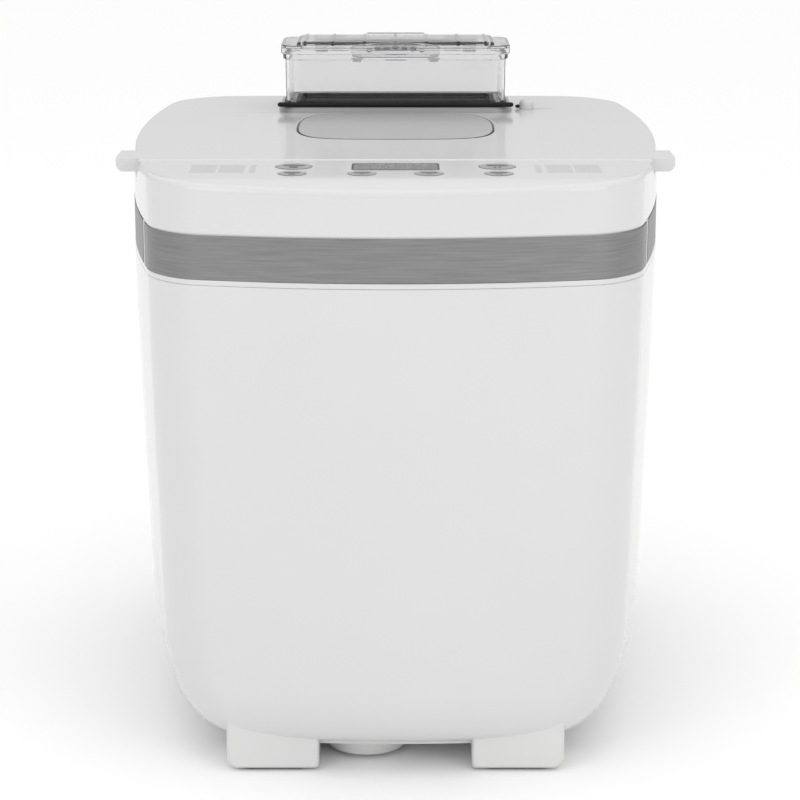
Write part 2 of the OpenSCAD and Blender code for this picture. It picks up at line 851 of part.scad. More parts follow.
module lid_shell() {
    color("whitesmoke") difference() {
        union() {
            intersection() {
                solid_plan(lid_in, deck_z - top_t, deck_z);
                behind(split_y + 0.25, deck_z - top_t, deck_z);
            }
            intersection() {
                ring_plan(lid_in, lid_in + wall, seam_z, deck_z - 1);
                behind(split_y + 0.25, seam_z, deck_z - 1);
            }
            intersection() {
                solid_plan(lid_in, seam_z, deck_z - 1);
                box(-half_w, half_w, split_y + 0.25, split_y + 2.75, seam_z, deck_z - 1);
            }
            difference() {
                for (side = [0, 1]) mirror([side, 0, 0]) lid_tab();
                solid_plan(lid_in + 1, seam_z - 1, deck_z - top_t);
            }
            slab(collar_w, collar_d, hopper_r + 3.5, 0, hopper_y, deck_z - top_t, collar_z);
            lid_knuckles();
        }
        slab(window_w, window_l, 12, 0, window_y, deck_z - 2, deck_z + 1);
        slab(window_w - 8, window_l - 8, 9, 0, window_y, seam_z - 1, deck_z + 1);
        slab(chute_w, chute_d, 4, 0, hopper_y, seam_z - 1, collar_z + 1);
        for (side = [-1, 1]) rod_x(side * 70 - 7, side * 70 + 7, hinge_y, hinge_z, hinge_pin_r + running);
        rod_x(-chute_w / 2 - 3, chute_w / 2 + 3, flap_y, flap_z, flap_pin_r + running);
        slab(catch_travel + 5.4, 5, 2.4, catch_x + catch_travel / 2, catch_y, seam_z, deck_z + 1);
    }
}

module lid_window() {
    color("gray") slab(window_w, window_l, 12, 0, window_y, deck_z - 2, deck_z);
}

module lid_liner() {
    top = deck_z - top_t;
    color("lightgray") difference() {
        union() {
            difference() {
                slab(liner_w, liner_l, 12, 0, liner_y, liner_z, top);
                slab(liner_w - 2 * liner_t, liner_l - 2 * liner_t, 10.8, 0, liner_y,
                    liner_z + liner_t, top + 1);
            }
            slab(chute_w + 2 * liner_t, chute_d + 2 * liner_t, 5, 0, hopper_y, liner_z, top);
            frame_slab(window_w, window_l, 11, liner_t, 0, window_y, liner_z, top);
        }
        slab(chute_w, chute_d, 4, 0, hopper_y, liner_z - 1, top + 1);
        slab(window_w - 8, window_l - 8, 9, 0, window_y, liner_z - 1, liner_z + 2);
        rod_x(-chute_w / 2 - 3, -chute_w / 2 + 3, hopper_y, liner_z + 14, 3.4);
    }
}

module liner_window() {
    color("lightgray") slab(window_w - 2 * liner_t, window_l - 2 * liner_t, 11 - liner_t, 0, window_y,
        liner_z + liner_t, liner_z + liner_t + 2);
}

module lid_seal() {
    color("dimgray") frame_slab(chamber_w + 18, chamber_l + 18, oven_r + 9, seal_w, 0, oven_y,
        well_z + well_t, liner_z);
}

module hinge_pins() {
    color("silver") for (side = [-1, 1])
        rod_x(side * 70 - 16, side * 70 + 16, hinge_y, hinge_z, hinge_pin_r);
}

// ---------- dispenser ----------
module dispenser_seal() {
    color("black") frame_slab(hopper_w + 8, hopper_d + 8, hopper_r + 4, 4, 0, hopper_y,
        collar_z, collar_z + seal_h);
}

module hopper_box() {
    color("lightsteelblue") difference() {
        union() {
            difference() {
                slab(hopper_w, hopper_d, hopper_r, 0, hopper_y, collar_z, rim_z);
                slab(hopper_w - 2 * hopper_wall, hopper_d - 2 * hopper_wall, hopper_r - hopper_wall,
                    0, hopper_y, collar_z + hopper_floor, rim_z + 1);
            }
            for (side = [-1, 1]) box(side * 22 - 3, side * 22 + 3, hopper_y - hopper_d / 2 - 2.1,
                hopper_y - hopper_d / 2 + 0.5, rim_z - 7, rim_z - 5);
            for (side = [-1, 1]) {
                rod_x(side * 44 - 4, side * 44 + 4, hopper_pin_y, hopper_pin_z, 2.4);
                box(side * 44 - 4, side * 44 + 4, hopper_pin_y - 3, hopper_pin_y + 1, rim_z - 5, rim_z);
            }
        }
        slab(chute_w - 8, chute_d - 8, 3, 0, hopper_y, collar_z - 1, collar_z + 3);
        rod_x(-50, 50, hopper_pin_y, hopper_pin_z, hopper_pin_r);
    }
}

module hopper_lid() {
    back = hopper_y + hopper_d / 2 - 1;
    fore = hopper_y - hopper_d / 2 - 2;
    mid = (back + fore) / 2;
    color("lightsteelblue") difference() {
        union() {
            slab(hopper_w + 4, back - fore, hopper_r, 0, mid, rim_z, rim_z + 2);
            slab(hopper_w - 14, back - fore - 7, 4, 0, mid, rim_z, rim_z + 6);
            for (side = [-1, 1]) {
                rod_x(side * 34 - 5, side * 34 + 5, hopper_pin_y, hopper_pin_z, 2.4);
                box(side * 34 - 5, side * 34 + 5, back - 4, hopper_pin_y, rim_z + 1.2, rim_z + 3.9);
            }
            box(-16, 16, back - 6, hopper_pin_y + 1, rim_z + 2, rim_z + 5);
        }
        slab(hopper_w - 18, back - fore - 11, 2.5, 0, mid, rim_z - 1, rim_z + 4.4);
        rod_x(-50, 50, hopper_pin_y, hopper_pin_z, hopper_pin_r + running);
    }
}

module hopper_lid_pin() {
    color("silver") rod_x(-48, 48, hopper_pin_y, hopper_pin_z, hopper_pin_r);
}

module hopper_latch() {
    wall_y = hopper_y - hopper_d / 2;
    face = wall_y - 2.3;
    color("lightsteelblue") {
        translate([0, face, 0]) rotate([90, 0, 0]) linear_extrude(2.4)
            pad(52, 9, 3, 0, rim_z + 2);
        for (side = [-1, 1]) {
            box(side * 22 - 2.5, side * 22 + 2.5, face - 2.4, face, rim_z - 10.4, rim_z);
            box(side * 22 - 2.5, side * 22 + 2.5, face - 0.2, wall_y - 0.4, rim_z - 10.4, rim_z - 7.4);
        }
        box(-12, 12, face - 1, face + 3.2, rim_z + 2, rim_z + 4);
    }
}

module hopper_flap() {
    front = hopper_y - chute_d / 2 + 2;
    color("gray") {
        rod_x(-chute_w / 2 - 2.5, chute_w / 2 + 2.5, flap_y, flap_z, flap_pin_r);
        slab(chute_w - 2, flap_y - front + 0.5, 3, 0, (flap_y + front + 0.5) / 2, flap_z - flap_t / 2 + 0.1,
            flap_z + flap_t / 2 + 0.1);
    }
}

solenoid_x = -chute_w / 2 - 20;

module flap_solenoid() {
    z = liner_z + liner_t;
    color("silver") difference() {
        box(solenoid_x - 22, solenoid_x, hopper_y - 11, hopper_y + 11, z, z + 22);
        rod_x(solenoid_x - 18, solenoid_x + 1, hopper_y, liner_z + 14, 3 + running);
    }
}

module solenoid_plunger() {
    color("gray") {
        rod_x(solenoid_x - 11, -chute_w / 2 - 1.4, hopper_y, liner_z + 14, 3);
        rod_x(solenoid_x + 10, solenoid_x + 13, hopper_y, liner_z + 14, 5);
    }
}

module dispenser_catch() {
    color("whitesmoke") {
        disc(catch_x, catch_y, 5.2, deck_z, deck_z + 3.2);
        disc(catch_x, catch_y, 4.4, deck_z + 3.2, deck_z + 4);
        disc(catch_x, catch_y, 2.2, deck_z - top_t - 1, deck_z);
        disc(catch_x, catch_y, 4, deck_z - top_t - 2.5, deck_z - top_t - 0.2);
    }
}

base_plate();
motor_cover();
front_feet();
rear_feet();
foot_pads();
base_screws();
lower_housing();
upper_frame();
trim_band_front();
trim_band_left();
trim_band_right();
display_lens();
display_module();
control_board();
key_switches();
menu_button();
start_button();
plus_button();
minus_button();
loaf_button();
crust_button();
oven_chamber();
heating_element();
heater_clips();
temperature_probe();
pan_socket();
chassis_plate();
chassis_posts();
motor();
motor_pulley();
drive_belt();
large_pulley();
drive_shaft();
shaft_bearing();
drive_coupling();
power_board();
cord_gland();
bread_pan();
pan_base();
pan_bearing();
pan_shaft();
kneading_paddle();
pan_handle();
handle_rivets();
lid_shell();
lid_window();
lid_liner();
liner_window();
lid_seal();
hinge_pins();
dispenser_seal();
hopper_box();
hopper_lid();
hopper_lid_pin();
hopper_latch();
hopper_flap();
flap_solenoid();
solenoid_plunger();
dispenser_catch();
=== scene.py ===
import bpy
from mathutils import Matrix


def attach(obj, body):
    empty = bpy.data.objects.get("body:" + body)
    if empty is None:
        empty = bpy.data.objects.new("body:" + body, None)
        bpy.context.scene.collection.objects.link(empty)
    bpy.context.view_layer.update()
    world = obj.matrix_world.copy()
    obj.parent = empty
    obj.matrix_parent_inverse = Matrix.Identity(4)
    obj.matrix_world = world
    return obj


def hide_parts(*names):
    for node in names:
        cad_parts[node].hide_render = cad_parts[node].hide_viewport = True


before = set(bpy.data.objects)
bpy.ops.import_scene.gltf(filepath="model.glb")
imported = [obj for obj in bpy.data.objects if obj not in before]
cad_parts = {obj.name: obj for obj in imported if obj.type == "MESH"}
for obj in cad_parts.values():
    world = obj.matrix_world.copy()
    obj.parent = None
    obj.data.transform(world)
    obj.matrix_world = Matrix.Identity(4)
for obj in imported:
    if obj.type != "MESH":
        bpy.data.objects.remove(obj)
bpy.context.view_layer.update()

import math

import bmesh
import bpy


# ---- Studio: camera, light and floor ----
# The machine stands on a plain pale floor in soft, even light, seen from a little above its front.
camera_data = bpy.data.cameras.new("studio_camera")
camera_data.lens = 108.0
camera_data.sensor_width = 36.0
camera_data.shift_x = 0.0056
camera = bpy.data.objects.new("studio_camera", camera_data)
camera.location = (0.0, -1.3005, 0.487)
camera.rotation_euler = (math.pi / 2 - 0.25, 0.0, 0.0)
bpy.context.scene.collection.objects.link(camera)
bpy.context.scene.camera = camera
bpy.context.scene.view_settings.view_transform = "Standard"

sky = bpy.data.worlds.new("studio_sky")
sky.use_nodes = True
sky_look = sky.node_tree.nodes.new("ShaderNodeTexCoord")
sky_up = sky.node_tree.nodes.new("ShaderNodeSeparateXYZ")
sky_fade = sky.node_tree.nodes.new("ShaderNodeMapRange")
sky_fade.inputs["To Min"].default_value, sky_fade.inputs["To Max"].default_value = 0.6, 1.25
sky.node_tree.links.new(sky_look.outputs["Generated"], sky_up.inputs["Vector"])
sky.node_tree.links.new(sky_up.outputs["Z"], sky_fade.inputs["Value"])
sky.node_tree.links.new(sky_fade.outputs["Result"], sky.node_tree.nodes["Background"].inputs["Color"])
bpy.context.scene.world = sky

floor_data = bpy.data.meshes.new("studio_floor")
floor_data.from_pydata([(-12, -12, 0), (12, -12, 0), (12, 12, 0), (-12, 12, 0)], [], [(0, 1, 2, 3)])
floor_paint = bpy.data.materials.new("studio_floor_paint")
floor_paint.use_nodes = True
floor_paint.node_tree.nodes["Principled BSDF"].inputs["Base Color"].default_value = (0.95, 0.95, 0.95, 1.0)
floor_paint.node_tree.nodes["Principled BSDF"].inputs["Roughness"].default_value = 0.8
floor_data.materials.append(floor_paint)
floor = bpy.data.objects.new("studio_floor", floor_data)
bpy.context.scene.collection.objects.link(floor)


def softbox(name, place, aim, width, height, power):
    """A soft rectangular light at a place, turned towards a point."""
    light = bpy.data.lights.new(name, "AREA")
    light.shape = "RECTANGLE"
    light.size = width
    light.size_y = height
    light.energy = power
    lamp = bpy.data.objects.new(name, light)
    lamp.location = place
    towards = [a - p for a, p in zip(aim, place)]
    flat = math.hypot(towards[0], towards[1])
    lamp.rotation_euler = (math.pi / 2 + math.atan2(towards[2], flat), 0.0,
                           math.atan2(towards[1], towards[0]) - math.pi / 2)
    bpy.context.scene.collection.objects.link(lamp)


softbox("light_overhead", (0.0, -0.25, 1.7), (0.0, 0.0, 0.2), 1.6, 1.2, 1.5)
softbox("light_front_left", (-1.1, -1.6, 0.9), (0.0, 0.0, 0.15), 0.9, 1.1, 4.7)
softbox("light_front_right", (1.2, -1.5, 0.8), (0.0, 0.0, 0.15), 0.9, 1.1, 5.4)


# ---- Lower housing ----
# The barrel-sided plastic tub that closes the machine from the steel band down to its rounded lower edge.
# It is one glossy white injection moulding with two fields of vent slots and the cord's hole in its rear
# wall.
BODY_W, BODY_D, FRONT_R, REAR_R = 283.0, 340.0, 25.0, 32.0
FRONT_BOW, REAR_BOW, SIDE_BOW, WIDE_AT = 15.5, 6.0, 0.51, 199.0
FRONT_Y = -174.5
REAR_Y = FRONT_Y + BODY_D


def body_outline(side=0.0, fore=None, fine=1):
    """Points round the body in plan, in millimetres, drawn in at the sides and at front and rear."""
    fore = side if fore is None else fore
    x, y0, y1 = BODY_W / 2 - side, FRONT_Y + fore, REAR_Y - fore
    corners = [(x - FRONT_R, y0 + FRONT_R, FRONT_R, -90), (x - REAR_R, y1 - REAR_R, REAR_R, 0),
               (-x + REAR_R, y1 - REAR_R, REAR_R, 90), (-x + FRONT_R, y0 + FRONT_R, FRONT_R, 180)]
    points = []
    for k, (cx, cy, r, start) in enumerate(corners):
        for i in range(12 * fine + 1):
            a = math.radians(start + 90 * i / (12 * fine))
            points.append((cx + r * math.cos(a), cy + r * math.sin(a)))
        nx, ny, nr, turn = corners[(k + 1) % 4]
        a = math.radians(turn)
        last, to = points[-1], (nx + nr * math.cos(a), ny + nr * math.sin(a))
        for i in range(1, 28 * fine):
            t = i / (28 * fine)
            points.append((last[0] + (to[0] - last[0]) * t, last[1] + (to[1] - last[1]) * t))
    bowed = []
    for px, py in points:
        back, u = py - FRONT_Y, px / (BODY_W / 2)
        bowed.append((px * (1 - SIDE_BOW * ((back - WIDE_AT) / BODY_D) ** 2),
                      py + FRONT_BOW * u * u * max(0.0, 1 - 2 * back / BODY_D)
                      - REAR_BOW * u * u * max(0.0, 2 * back / BODY_D - 1)))
    return bowed


def moulded(name, points, faces, material, sharp=32.0):
    """A piece from points in millimetres, with outward faces and smooth shading."""
    mesh = bpy.data.meshes.new(name)
    mesh.from_pydata([(x / 1000, y / 1000, z / 1000) for x, y, z in points], [], faces)
    shape = bmesh.new()
    shape.from_mesh(mesh)
    bmesh.ops.remove_doubles(shape, verts=shape.verts, dist=1e-6)
    bmesh.ops.recalc_face_normals(shape, faces=shape.faces)
    shape.to_mesh(mesh)
    shape.free()
    mesh.shade_smooth()
    mesh.set_sharp_from_angle(angle=math.radians(sharp))
    mesh.materials.append(material)
    piece = bpy.data.objects.new(name, mesh)
    bpy.context.scene.collection.objects.link(piece)
    return evened(piece)


def ring_stack(name, rings, material, closed=True, caps=False, sharp=32.0):
    """A skin over a stack of equal loops. Closed joins the last loop to the first, as round a wall."""
    n = len(rings[0])
    points = [p for ring in rings for p in ring]
    faces = []
    for k in range(len(rings) if closed else len(rings) - 1):
        a, b = k * n, ((k + 1) % len(rings)) * n
        faces += [(a + i, a + (i + 1) % n, b + (i + 1) % n, b + i) for i in range(n)]
    if caps:
        faces += [tuple(range(n)), tuple(range((len(rings) - 1) * n, len(rings) * n))]
    return moulded(name, points, faces, material, sharp)


def settle(piece):
    """Turns a piece's live modifiers into its plain mesh."""
    bpy.context.view_layer.update()
    seen = piece.evaluated_get(bpy.context.evaluated_depsgraph_get())
    mesh = bpy.data.meshes.new_from_object(seen)
    if piece.type == "MESH":
        piece.modifiers.clear()
        piece.data = mesh
        return piece
    name, parent = piece.name, piece.users_collection[0]
    bpy.data.objects.remove(piece)
    plain = bpy.data.objects.new(name, mesh)
    parent.objects.link(plain)
    return plain


def evened(piece):
    """Sets shading by face area, so that flats stay flat beside their rounded edges."""
    weigh = piece.modifiers.new("even", "WEIGHTED_NORMAL")
    weigh.keep_sharp = True
    return settle(piece)


def cut_from(piece, cutter):
    """Takes the cutter's shape out of a piece."""
    knife = piece.modifiers.new("cut", "BOOLEAN")
    knife.operation = "DIFFERENCE"
    knife.solver = "EXACT"
    knife.object = cutter
    settle(piece)
    bpy.data.objects.remove(cutter)
    piece.data.shade_smooth()
    piece.data.set_sharp_from_angle(angle=math.radians(32))
    return evened(piece)


def plastic(name, colour, rough, grain=900.0, depth=0.02, coat=0.0, mottle=0.02, metal=0.0, shine=0.5,
            drift=1.0):
    """Moulded plastic: a fine spark-eroded grain in roughness and height, and a slight colour drift."""
    material = bpy.data.materials.new(name)
    material.use_nodes = True
    tree = material.node_tree
    shader = tree.nodes["Principled BSDF"]
    shader.inputs["Metallic"].default_value = metal
    shader.inputs["Coat Weight"].default_value = coat
    shader.inputs["Coat Roughness"].default_value = 0.04
    shader.inputs["Specular IOR Level"].default_value = shine
    place = tree.nodes.new("ShaderNodeTexCoord")
    fine = tree.nodes.new("ShaderNodeTexNoise")
    fine.inputs["Scale"].default_value = grain
    fine.inputs["Detail"].default_value = 3.0
    broad = tree.nodes.new("ShaderNodeTexNoise")
    broad.inputs["Scale"].default_value = 14.0
    tint = tree.nodes.new("ShaderNodeValToRGB")
    tint.color_ramp.elements[0].position = 0.3
    tint.color_ramp.elements[1].position = 0.7
    low = [max(0.0, c * (1 - mottle)) for c in colour]
    high = [min(1.0, c * (1 + mottle)) for c in colour]
    tint.color_ramp.elements[0].color = (*low, 1.0)
    tint.color_ramp.elements[1].color = (*high, 1.0)
    gloss = tree.nodes.new("ShaderNodeMapRange")
    gloss.inputs["To Min"].default_value = rough * (1 - 0.15 * drift)
    gloss.inputs["To Max"].default_value = rough * (1 + 0.2 * drift)
    bump = tree.nodes.new("ShaderNodeBump")
    bump.inputs["Strength"].default_value = depth
    bump.inputs["Distance"].default_value = 0.0002
    tree.links.new(place.outputs["Object"], fine.inputs["Vector"])
    tree.links.new(place.outputs["Object"], broad.inputs["Vector"])
    tree.links.new(broad.outputs["Fac"], tint.inputs["Fac"])
    tree.links.new(tint.outputs["Color"], shader.inputs["Base Color"])
    tree.links.new(fine.outputs["Fac"], gloss.inputs["Value"])
    tree.links.new(gloss.outputs["Result"], shader.inputs["Roughness"])
    tree.links.new(fine.outputs["Fac"], bump.inputs["Height"])
    tree.links.new(bump.outputs["Normal"], shader.inputs["Normal"])
    return material


body_white = plastic("glossy_body_white", (0.63, 0.63, 0.628), 0.16, depth=0.012, coat=0.25, mottle=0.006)
SHELL_Z, LIP_Z, WALL = 15.5, 254.0, 2.5
SIDE_LEAN, FORE_LEAN = 8.0, 8.0 / 3
SIDE_TURN, FORE_TURN = (55.0, 33.0), (30.0, 16.0)


def drawn_in(z, lean, turn):
    """How far the wall stands in at a height: a lean, and at its foot a quarter turn of (height, depth)."""
    slope = lean * (max(0.0, LIP_Z - z) / (LIP_Z - SHELL_Z)) ** 1.3
    rise = (z - SHELL_Z) / turn[0]
    return slope + (turn[1] * (1 - math.sqrt(1 - (1 - rise) ** 2)) if rise < 1 else 0.0)


def tub_loop(z, thick=0.0):
    """One loop of the tub's wall at a height; the sides turn in further than the front and rear."""
    side, fore = drawn_in(z, SIDE_LEAN, SIDE_TURN), drawn_in(z, FORE_LEAN, FORE_TURN)
    return [(x, y, z) for x, y in body_outline(side + thick, fore + thick)]


low_turn = [SHELL_Z + SIDE_TURN[0] * (1 - math.cos(math.radians(90 * i / 30))) for i in range(31)]
tub_heights = low_turn + [SHELL_Z + SIDE_TURN[0] + (LIP_Z - 0.8 - SHELL_Z - SIDE_TURN[0]) * i / 10
                          for i in range(1, 11)]
tub_rings = [tub_loop(z) for z in tub_heights]
tub_rings.append([(x, y, LIP_Z - 0.25) for x, y in body_outline(0.25)])
tub_rings.append([(x, y, LIP_Z) for x, y in body_outline(0.9)])
tub_rings += [tub_loop(z, WALL) for z in reversed(tub_heights)]
lower_tub = ring_stack("lower_tub", tub_rings, body_white)


def slot_rows(name, across, rows, pitch, width, height, depth, at, climb="Z"):
    """Square-edged slots in rows and columns, instanced on a grid of points and made real."""
    tree = bpy.data.node_groups.new(name, "GeometryNodeTree")
    face = tree.interface
    for label, kind in (("Columns", "NodeSocketInt"), ("Rows", "NodeSocketInt"),
                        ("Column pitch", "NodeSocketFloat"),
                        ("Row pitch", "NodeSocketFloat"), ("Slot", "NodeSocketVector"),
                        ("Centre", "NodeSocketVector"),
                        ("Finish", "NodeSocketMaterial")):
        face.new_socket(label, in_out="INPUT", socket_type=kind)
    face.new_socket("Geometry", in_out="OUTPUT", socket_type="NodeSocketGeometry")
    enter, leave = tree.nodes.new("NodeGroupInput"), tree.nodes.new("NodeGroupOutput")
    column, row = tree.nodes.new("GeometryNodeMeshLine"), tree.nodes.new("GeometryNodeMeshLine")
    for line in (column, row):
        line.mode = "OFFSET"
    sideways, upward = tree.nodes.new("ShaderNodeCombineXYZ"), tree.nodes.new("ShaderNodeCombineXYZ")
    link = tree.links.new
    link(enter.outputs["Column pitch"], sideways.inputs["X"])
    link(enter.outputs["Row pitch"], upward.inputs[climb])
    link(enter.outputs["Columns"], column.inputs["Count"])
    link(sideways.outputs[0], column.inputs["Offset"])
    link(enter.outputs["Rows"], row.inputs["Count"])
    link(upward.outputs[0], row.inputs["Offset"])
    lattice = tree.nodes.new("GeometryNodeInstanceOnPoints")
    real_rows = tree.nodes.new("GeometryNodeRealizeInstances")
    link(column.outputs["Mesh"], lattice.inputs["Points"])
    link(row.outputs["Mesh"], lattice.inputs["Instance"])
    link(lattice.outputs["Instances"], real_rows.inputs["Geometry"])
    block, put = tree.nodes.new("GeometryNodeMeshCube"), tree.nodes.new("GeometryNodeInstanceOnPoints")
    link(enter.outputs["Slot"], block.inputs["Size"])
    link(real_rows.outputs["Geometry"], put.inputs["Points"])
    link(block.outputs["Mesh"], put.inputs["Instance"])
    shift, real = tree.nodes.new("GeometryNodeTransform"), tree.nodes.new("GeometryNodeRealizeInstances")
    paint = tree.nodes.new("GeometryNodeSetMaterial")
    link(put.outputs["Instances"], shift.inputs["Geometry"])
    link(enter.outputs["Centre"], shift.inputs["Translation"])
    link(shift.outputs["Geometry"], real.inputs["Geometry"])
    link(real.outputs["Geometry"], paint.inputs["Geometry"])
    link(enter.outputs["Finish"], paint.inputs["Material"])
    link(paint.outputs["Geometry"], leave.inputs["Geometry"])
    holder = bpy.data.objects.new(name, bpy.data.meshes.new(name))
    bpy.context.scene.collection.objects.link(holder)
    grower = holder.modifiers.new("slots", "NODES")
    grower.node_group = tree
    keys = {item.name: item.identifier for item in face.items_tree if item.in_out == "INPUT"}
    grower[keys["Columns"]], grower[keys["Rows"]] = across[0], rows
    grower[keys["Column pitch"]], grower[keys["Row pitch"]] = across[1] / 1000, pitch / 1000
    grower[keys["Slot"]] = (width / 1000, depth / 1000, height / 1000)
    grower[keys["Centre"]] = tuple(v / 1000 for v in at)
    grower[keys["Finish"]] = body_white
    return settle(holder)


cut_from(lower_tub, slot_rows("vent_cuts", (2, 90.0), 7, -9.0, 60.0, 3.0, 14.0, (-45.0, REAR_Y - 5, 222.5)))
gland_rings = [[(-60 + 7.2 * math.cos(2 * math.pi * i / 40), y, 51 + 7.2 * math.sin(2 * math.pi * i / 40))
                for i in range(40)]
               for y in (REAR_Y - 15, REAR_Y + 2)]
cut_from(lower_tub, ring_stack("gland_hole", gland_rings, body_white, closed=False, caps=True))
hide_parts("lower_housing")
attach(lower_tub, "body")


# ---- Upper frame ----
# The white ring that carries the steel band, the control deck at the front and the well under the lid.
# One moulding in the real machine: rim, deck, shelf, well and hinge lugs are its parts.
DECK_Z, BAND_TOP, BAND_LOW, SEAM_Z = 305.0, 278.5, 256.5, 297.0
SPLIT_Y, KEY_DECK = FRONT_Y + 77.0, 304.6


def deck_height(y):
    """The deck is almost level to its lip, which rolls down over its last 22 mm."""
    fall = 0.5 * min(1.0, max(0.0, (SPLIT_Y - y) / 75.0)) ** 1.5
    return KEY_DECK - fall - 3.0 * min(1.0, max(0.0, (FRONT_Y + 22.0 - y) / 22.0)) ** 1.7


def rim_loop(inset, fall, flat=None):
    """One loop of the rim, measured down from its top: the deck in front, the lid's shelf behind it."""
    loop = []
    for x, y in body_outline(inset):
        top = deck_height(y) if y < SPLIT_Y - 0.2 else SEAM_Z - 0.5
        loop.append((x, y, flat if flat is not None else top - fall))
    return loop


rim_rings = [rim_loop(0.25, 0, LIP_Z), rim_loop(0, 0, LIP_Z + 0.5), rim_loop(0, 0, BAND_LOW - 0.5),
             rim_loop(0.3, 0, BAND_LOW), rim_loop(1.1, 0, BAND_LOW), rim_loop(1.1, 0, BAND_TOP + 0.2),
             rim_loop(1.1, 0, BAND_TOP + 0.6), rim_loop(0.7, 0, BAND_TOP + 0.6),
             rim_loop(0.5, 0, BAND_TOP + 1.1)]
rim_rings += [rim_loop(0.5, 0, BAND_TOP + 1.1 + (289.0 - BAND_TOP - 1.1) * i / 4) for i in range(1, 5)]
rim_rings += [rim_loop(0.5 + 3.0 * (1 - math.cos(math.radians(a))), 3.0 * (1 - math.sin(math.radians(a))))
              for a in range(0, 91, 10)]
rim_rings += [rim_loop(5.0, 0.0), rim_loop(5.0, 3.0), rim_loop(3.8, 4.5), rim_loop(3.8, 0, LIP_Z)]
frame_rim = ring_stack("frame_rim", rim_rings, body_white)


def plate(name, loops, z0, z1, round_over, material, steps=4, sharp=32.0):
    """A flat plate from an outer loop and any holes, with its edges rounded over."""
    curve = bpy.data.curves.new(name, "CURVE")
    curve.dimensions = "2D"
    curve.fill_mode = "BOTH"
    for loop in loops:
        spline = curve.splines.new("POLY")
        spline.points.add(len(loop) - 1)
        for point, (x, y) in zip(spline.points, loop):
            point.co = (x / 1000, y / 1000, 0.0, 1.0)
        spline.use_cyclic_u = True
    curve.extrude = max(0.0, (z1 - z0) / 2000 - round_over / 1000)
    curve.bevel_depth = round_over / 1000
    curve.bevel_resolution = steps
    curve.offset = -round_over / 1000
    blank = bpy.data.objects.new(name, curve)
    bpy.context.scene.collection.objects.link(blank)
    piece = settle(blank)
    mid = (z0 + z1) / 2000
    shape = bmesh.new()
    shape.from_mesh(piece.data)
    bmesh.ops.translate(shape, verts=shape.verts, vec=(0.0, 0.0, mid))
    bmesh.ops.remove_doubles(shape, verts=shape.verts, dist=1e-6)
    bmesh.ops.recalc_face_normals(shape, faces=shape.faces)
    shape.to_mesh(piece.data)
    shape.free()
    piece.data.shade_smooth()
    piece.data.set_sharp_from_angle(angle=math.radians(sharp))
    piece.data.materials.clear()
    piece.data.materials.append(material)
    return evened(piece)


def round_box(w, l, r, cx=0.0, cy=0.0, steps=10):
    """A rounded rectangle as a loop."""
    loop = []
    for sx, sy, start in ((1, -1, -90), (1, 1, 0), (-1, 1, 90), (-1, -1, 180)):
        for i in range(steps + 1):
            a = math.radians(start + 90 * i / steps)
            loop.append((cx + sx * (w / 2 - r) + r * math.cos(a), cy + sy * (l / 2 - r) + r * math.sin(a)))
    return loop


def circle(r, cx, cy, steps=48):
    """A circle as a loop."""
    return [(cx + r * math.cos(2 * math.pi * i / steps), cy + r * math.sin(2 * math.pi * i / steps))
            for i in range(steps)]


def front_part(loop, y_end):
    """The part of a loop in front of a line across the body, closed along that line."""
    kept = []
    for a, b in zip(loop, loop[1:] + loop[:1]):
        if a[1] < y_end:
            kept.append(a)
        if (a[1] < y_end) != (b[1] < y_end):
            t = (y_end - a[1]) / (b[1] - a[1])
            kept.append((a[0] + (b[0] - a[0]) * t, y_end))
    return kept


def rear_part(loop, y_start):
    """The part of a loop behind a line across the body."""
    return [(x, -y) for x, y in front_part([(x, -y) for x, y in loop], -y_start)]


KEYS = {"menu_button": (-50.5, FRONT_Y + 56.8, 9.1), "start_button": (50.5, FRONT_Y + 56.8, 9.1),
        "loaf_button": (-50.5, FRONT_Y + 35.5, 6.9), "plus_button": (-16.4, FRONT_Y + 35.5, 6.9),
        "minus_button": (16.4, FRONT_Y + 35.5, 6.9), "crust_button": (50.5, FRONT_Y + 35.5, 6.9)}
SCREEN = (43.0, 20.0, FRONT_Y + 56.3)

deck_loops = [front_part(body_outline(3.4), SPLIT_Y - 0.25),
              round_box(SCREEN[0] + 0.5, SCREEN[1] + 0.5, 2.2, 0, SCREEN[2])]
deck_loops += [circle(r + 0.3, x, y) for x, y, r in KEYS.values()]
control_deck = plate("control_deck", deck_loops, KEY_DECK - 3.0, KEY_DECK, 0.0, body_white, sharp=20)


def drop_to_deck(piece, base=KEY_DECK):
    """Lets a flat piece follow the deck's fall to the front."""
    for v in piece.data.vertices:
        v.co.z += (deck_height(v.co.y * 1000) - base) / 1000
    return piece


def dense(piece, step=6.0):
    """Cuts long faces into short ones, so that a flat piece can follow a curve."""
    shape = bmesh.new()
    shape.from_mesh(piece.data)
    y = FRONT_Y
    while y < SPLIT_Y:
        cut = shape.verts[:] + shape.edges[:] + shape.faces[:]
        bmesh.ops.bisect_plane(shape, geom=cut, plane_co=(0, y / 1000, 0), plane_no=(0, 1, 0))
        y += step
    shape.to_mesh(piece.data)
    shape.free()
    piece.data.shade_smooth()
    piece.data.set_sharp_from_angle(angle=math.radians(32))
    return piece


drop_to_deck(dense(control_deck))

WELL_W, WELL_Y0, WELL_Y1 = 225.0, SPLIT_Y + 3, REAR_Y - 8
WELL_L, WELL_Y, WELL_Z = WELL_Y1 - WELL_Y0, (WELL_Y0 + WELL_Y1) / 2, 267.0
OVEN_Y, CHAMBER_W, CHAMBER_L = 26.0, 175.0, 204.0


def box_rings(levels, cy):
    """Rounded rectangular loops at given (width, length, radius, height)."""
    return [[(x, y, z) for x, y in round_box(w, l, r, 0, cy)] for w, l, r, z in levels]


def grown(w, l, levels):
    """Levels for box_rings from (growth, radius, height), the growth added to both width and length."""
    return [(w + more, l + more, r, z) for more, r, z in levels]


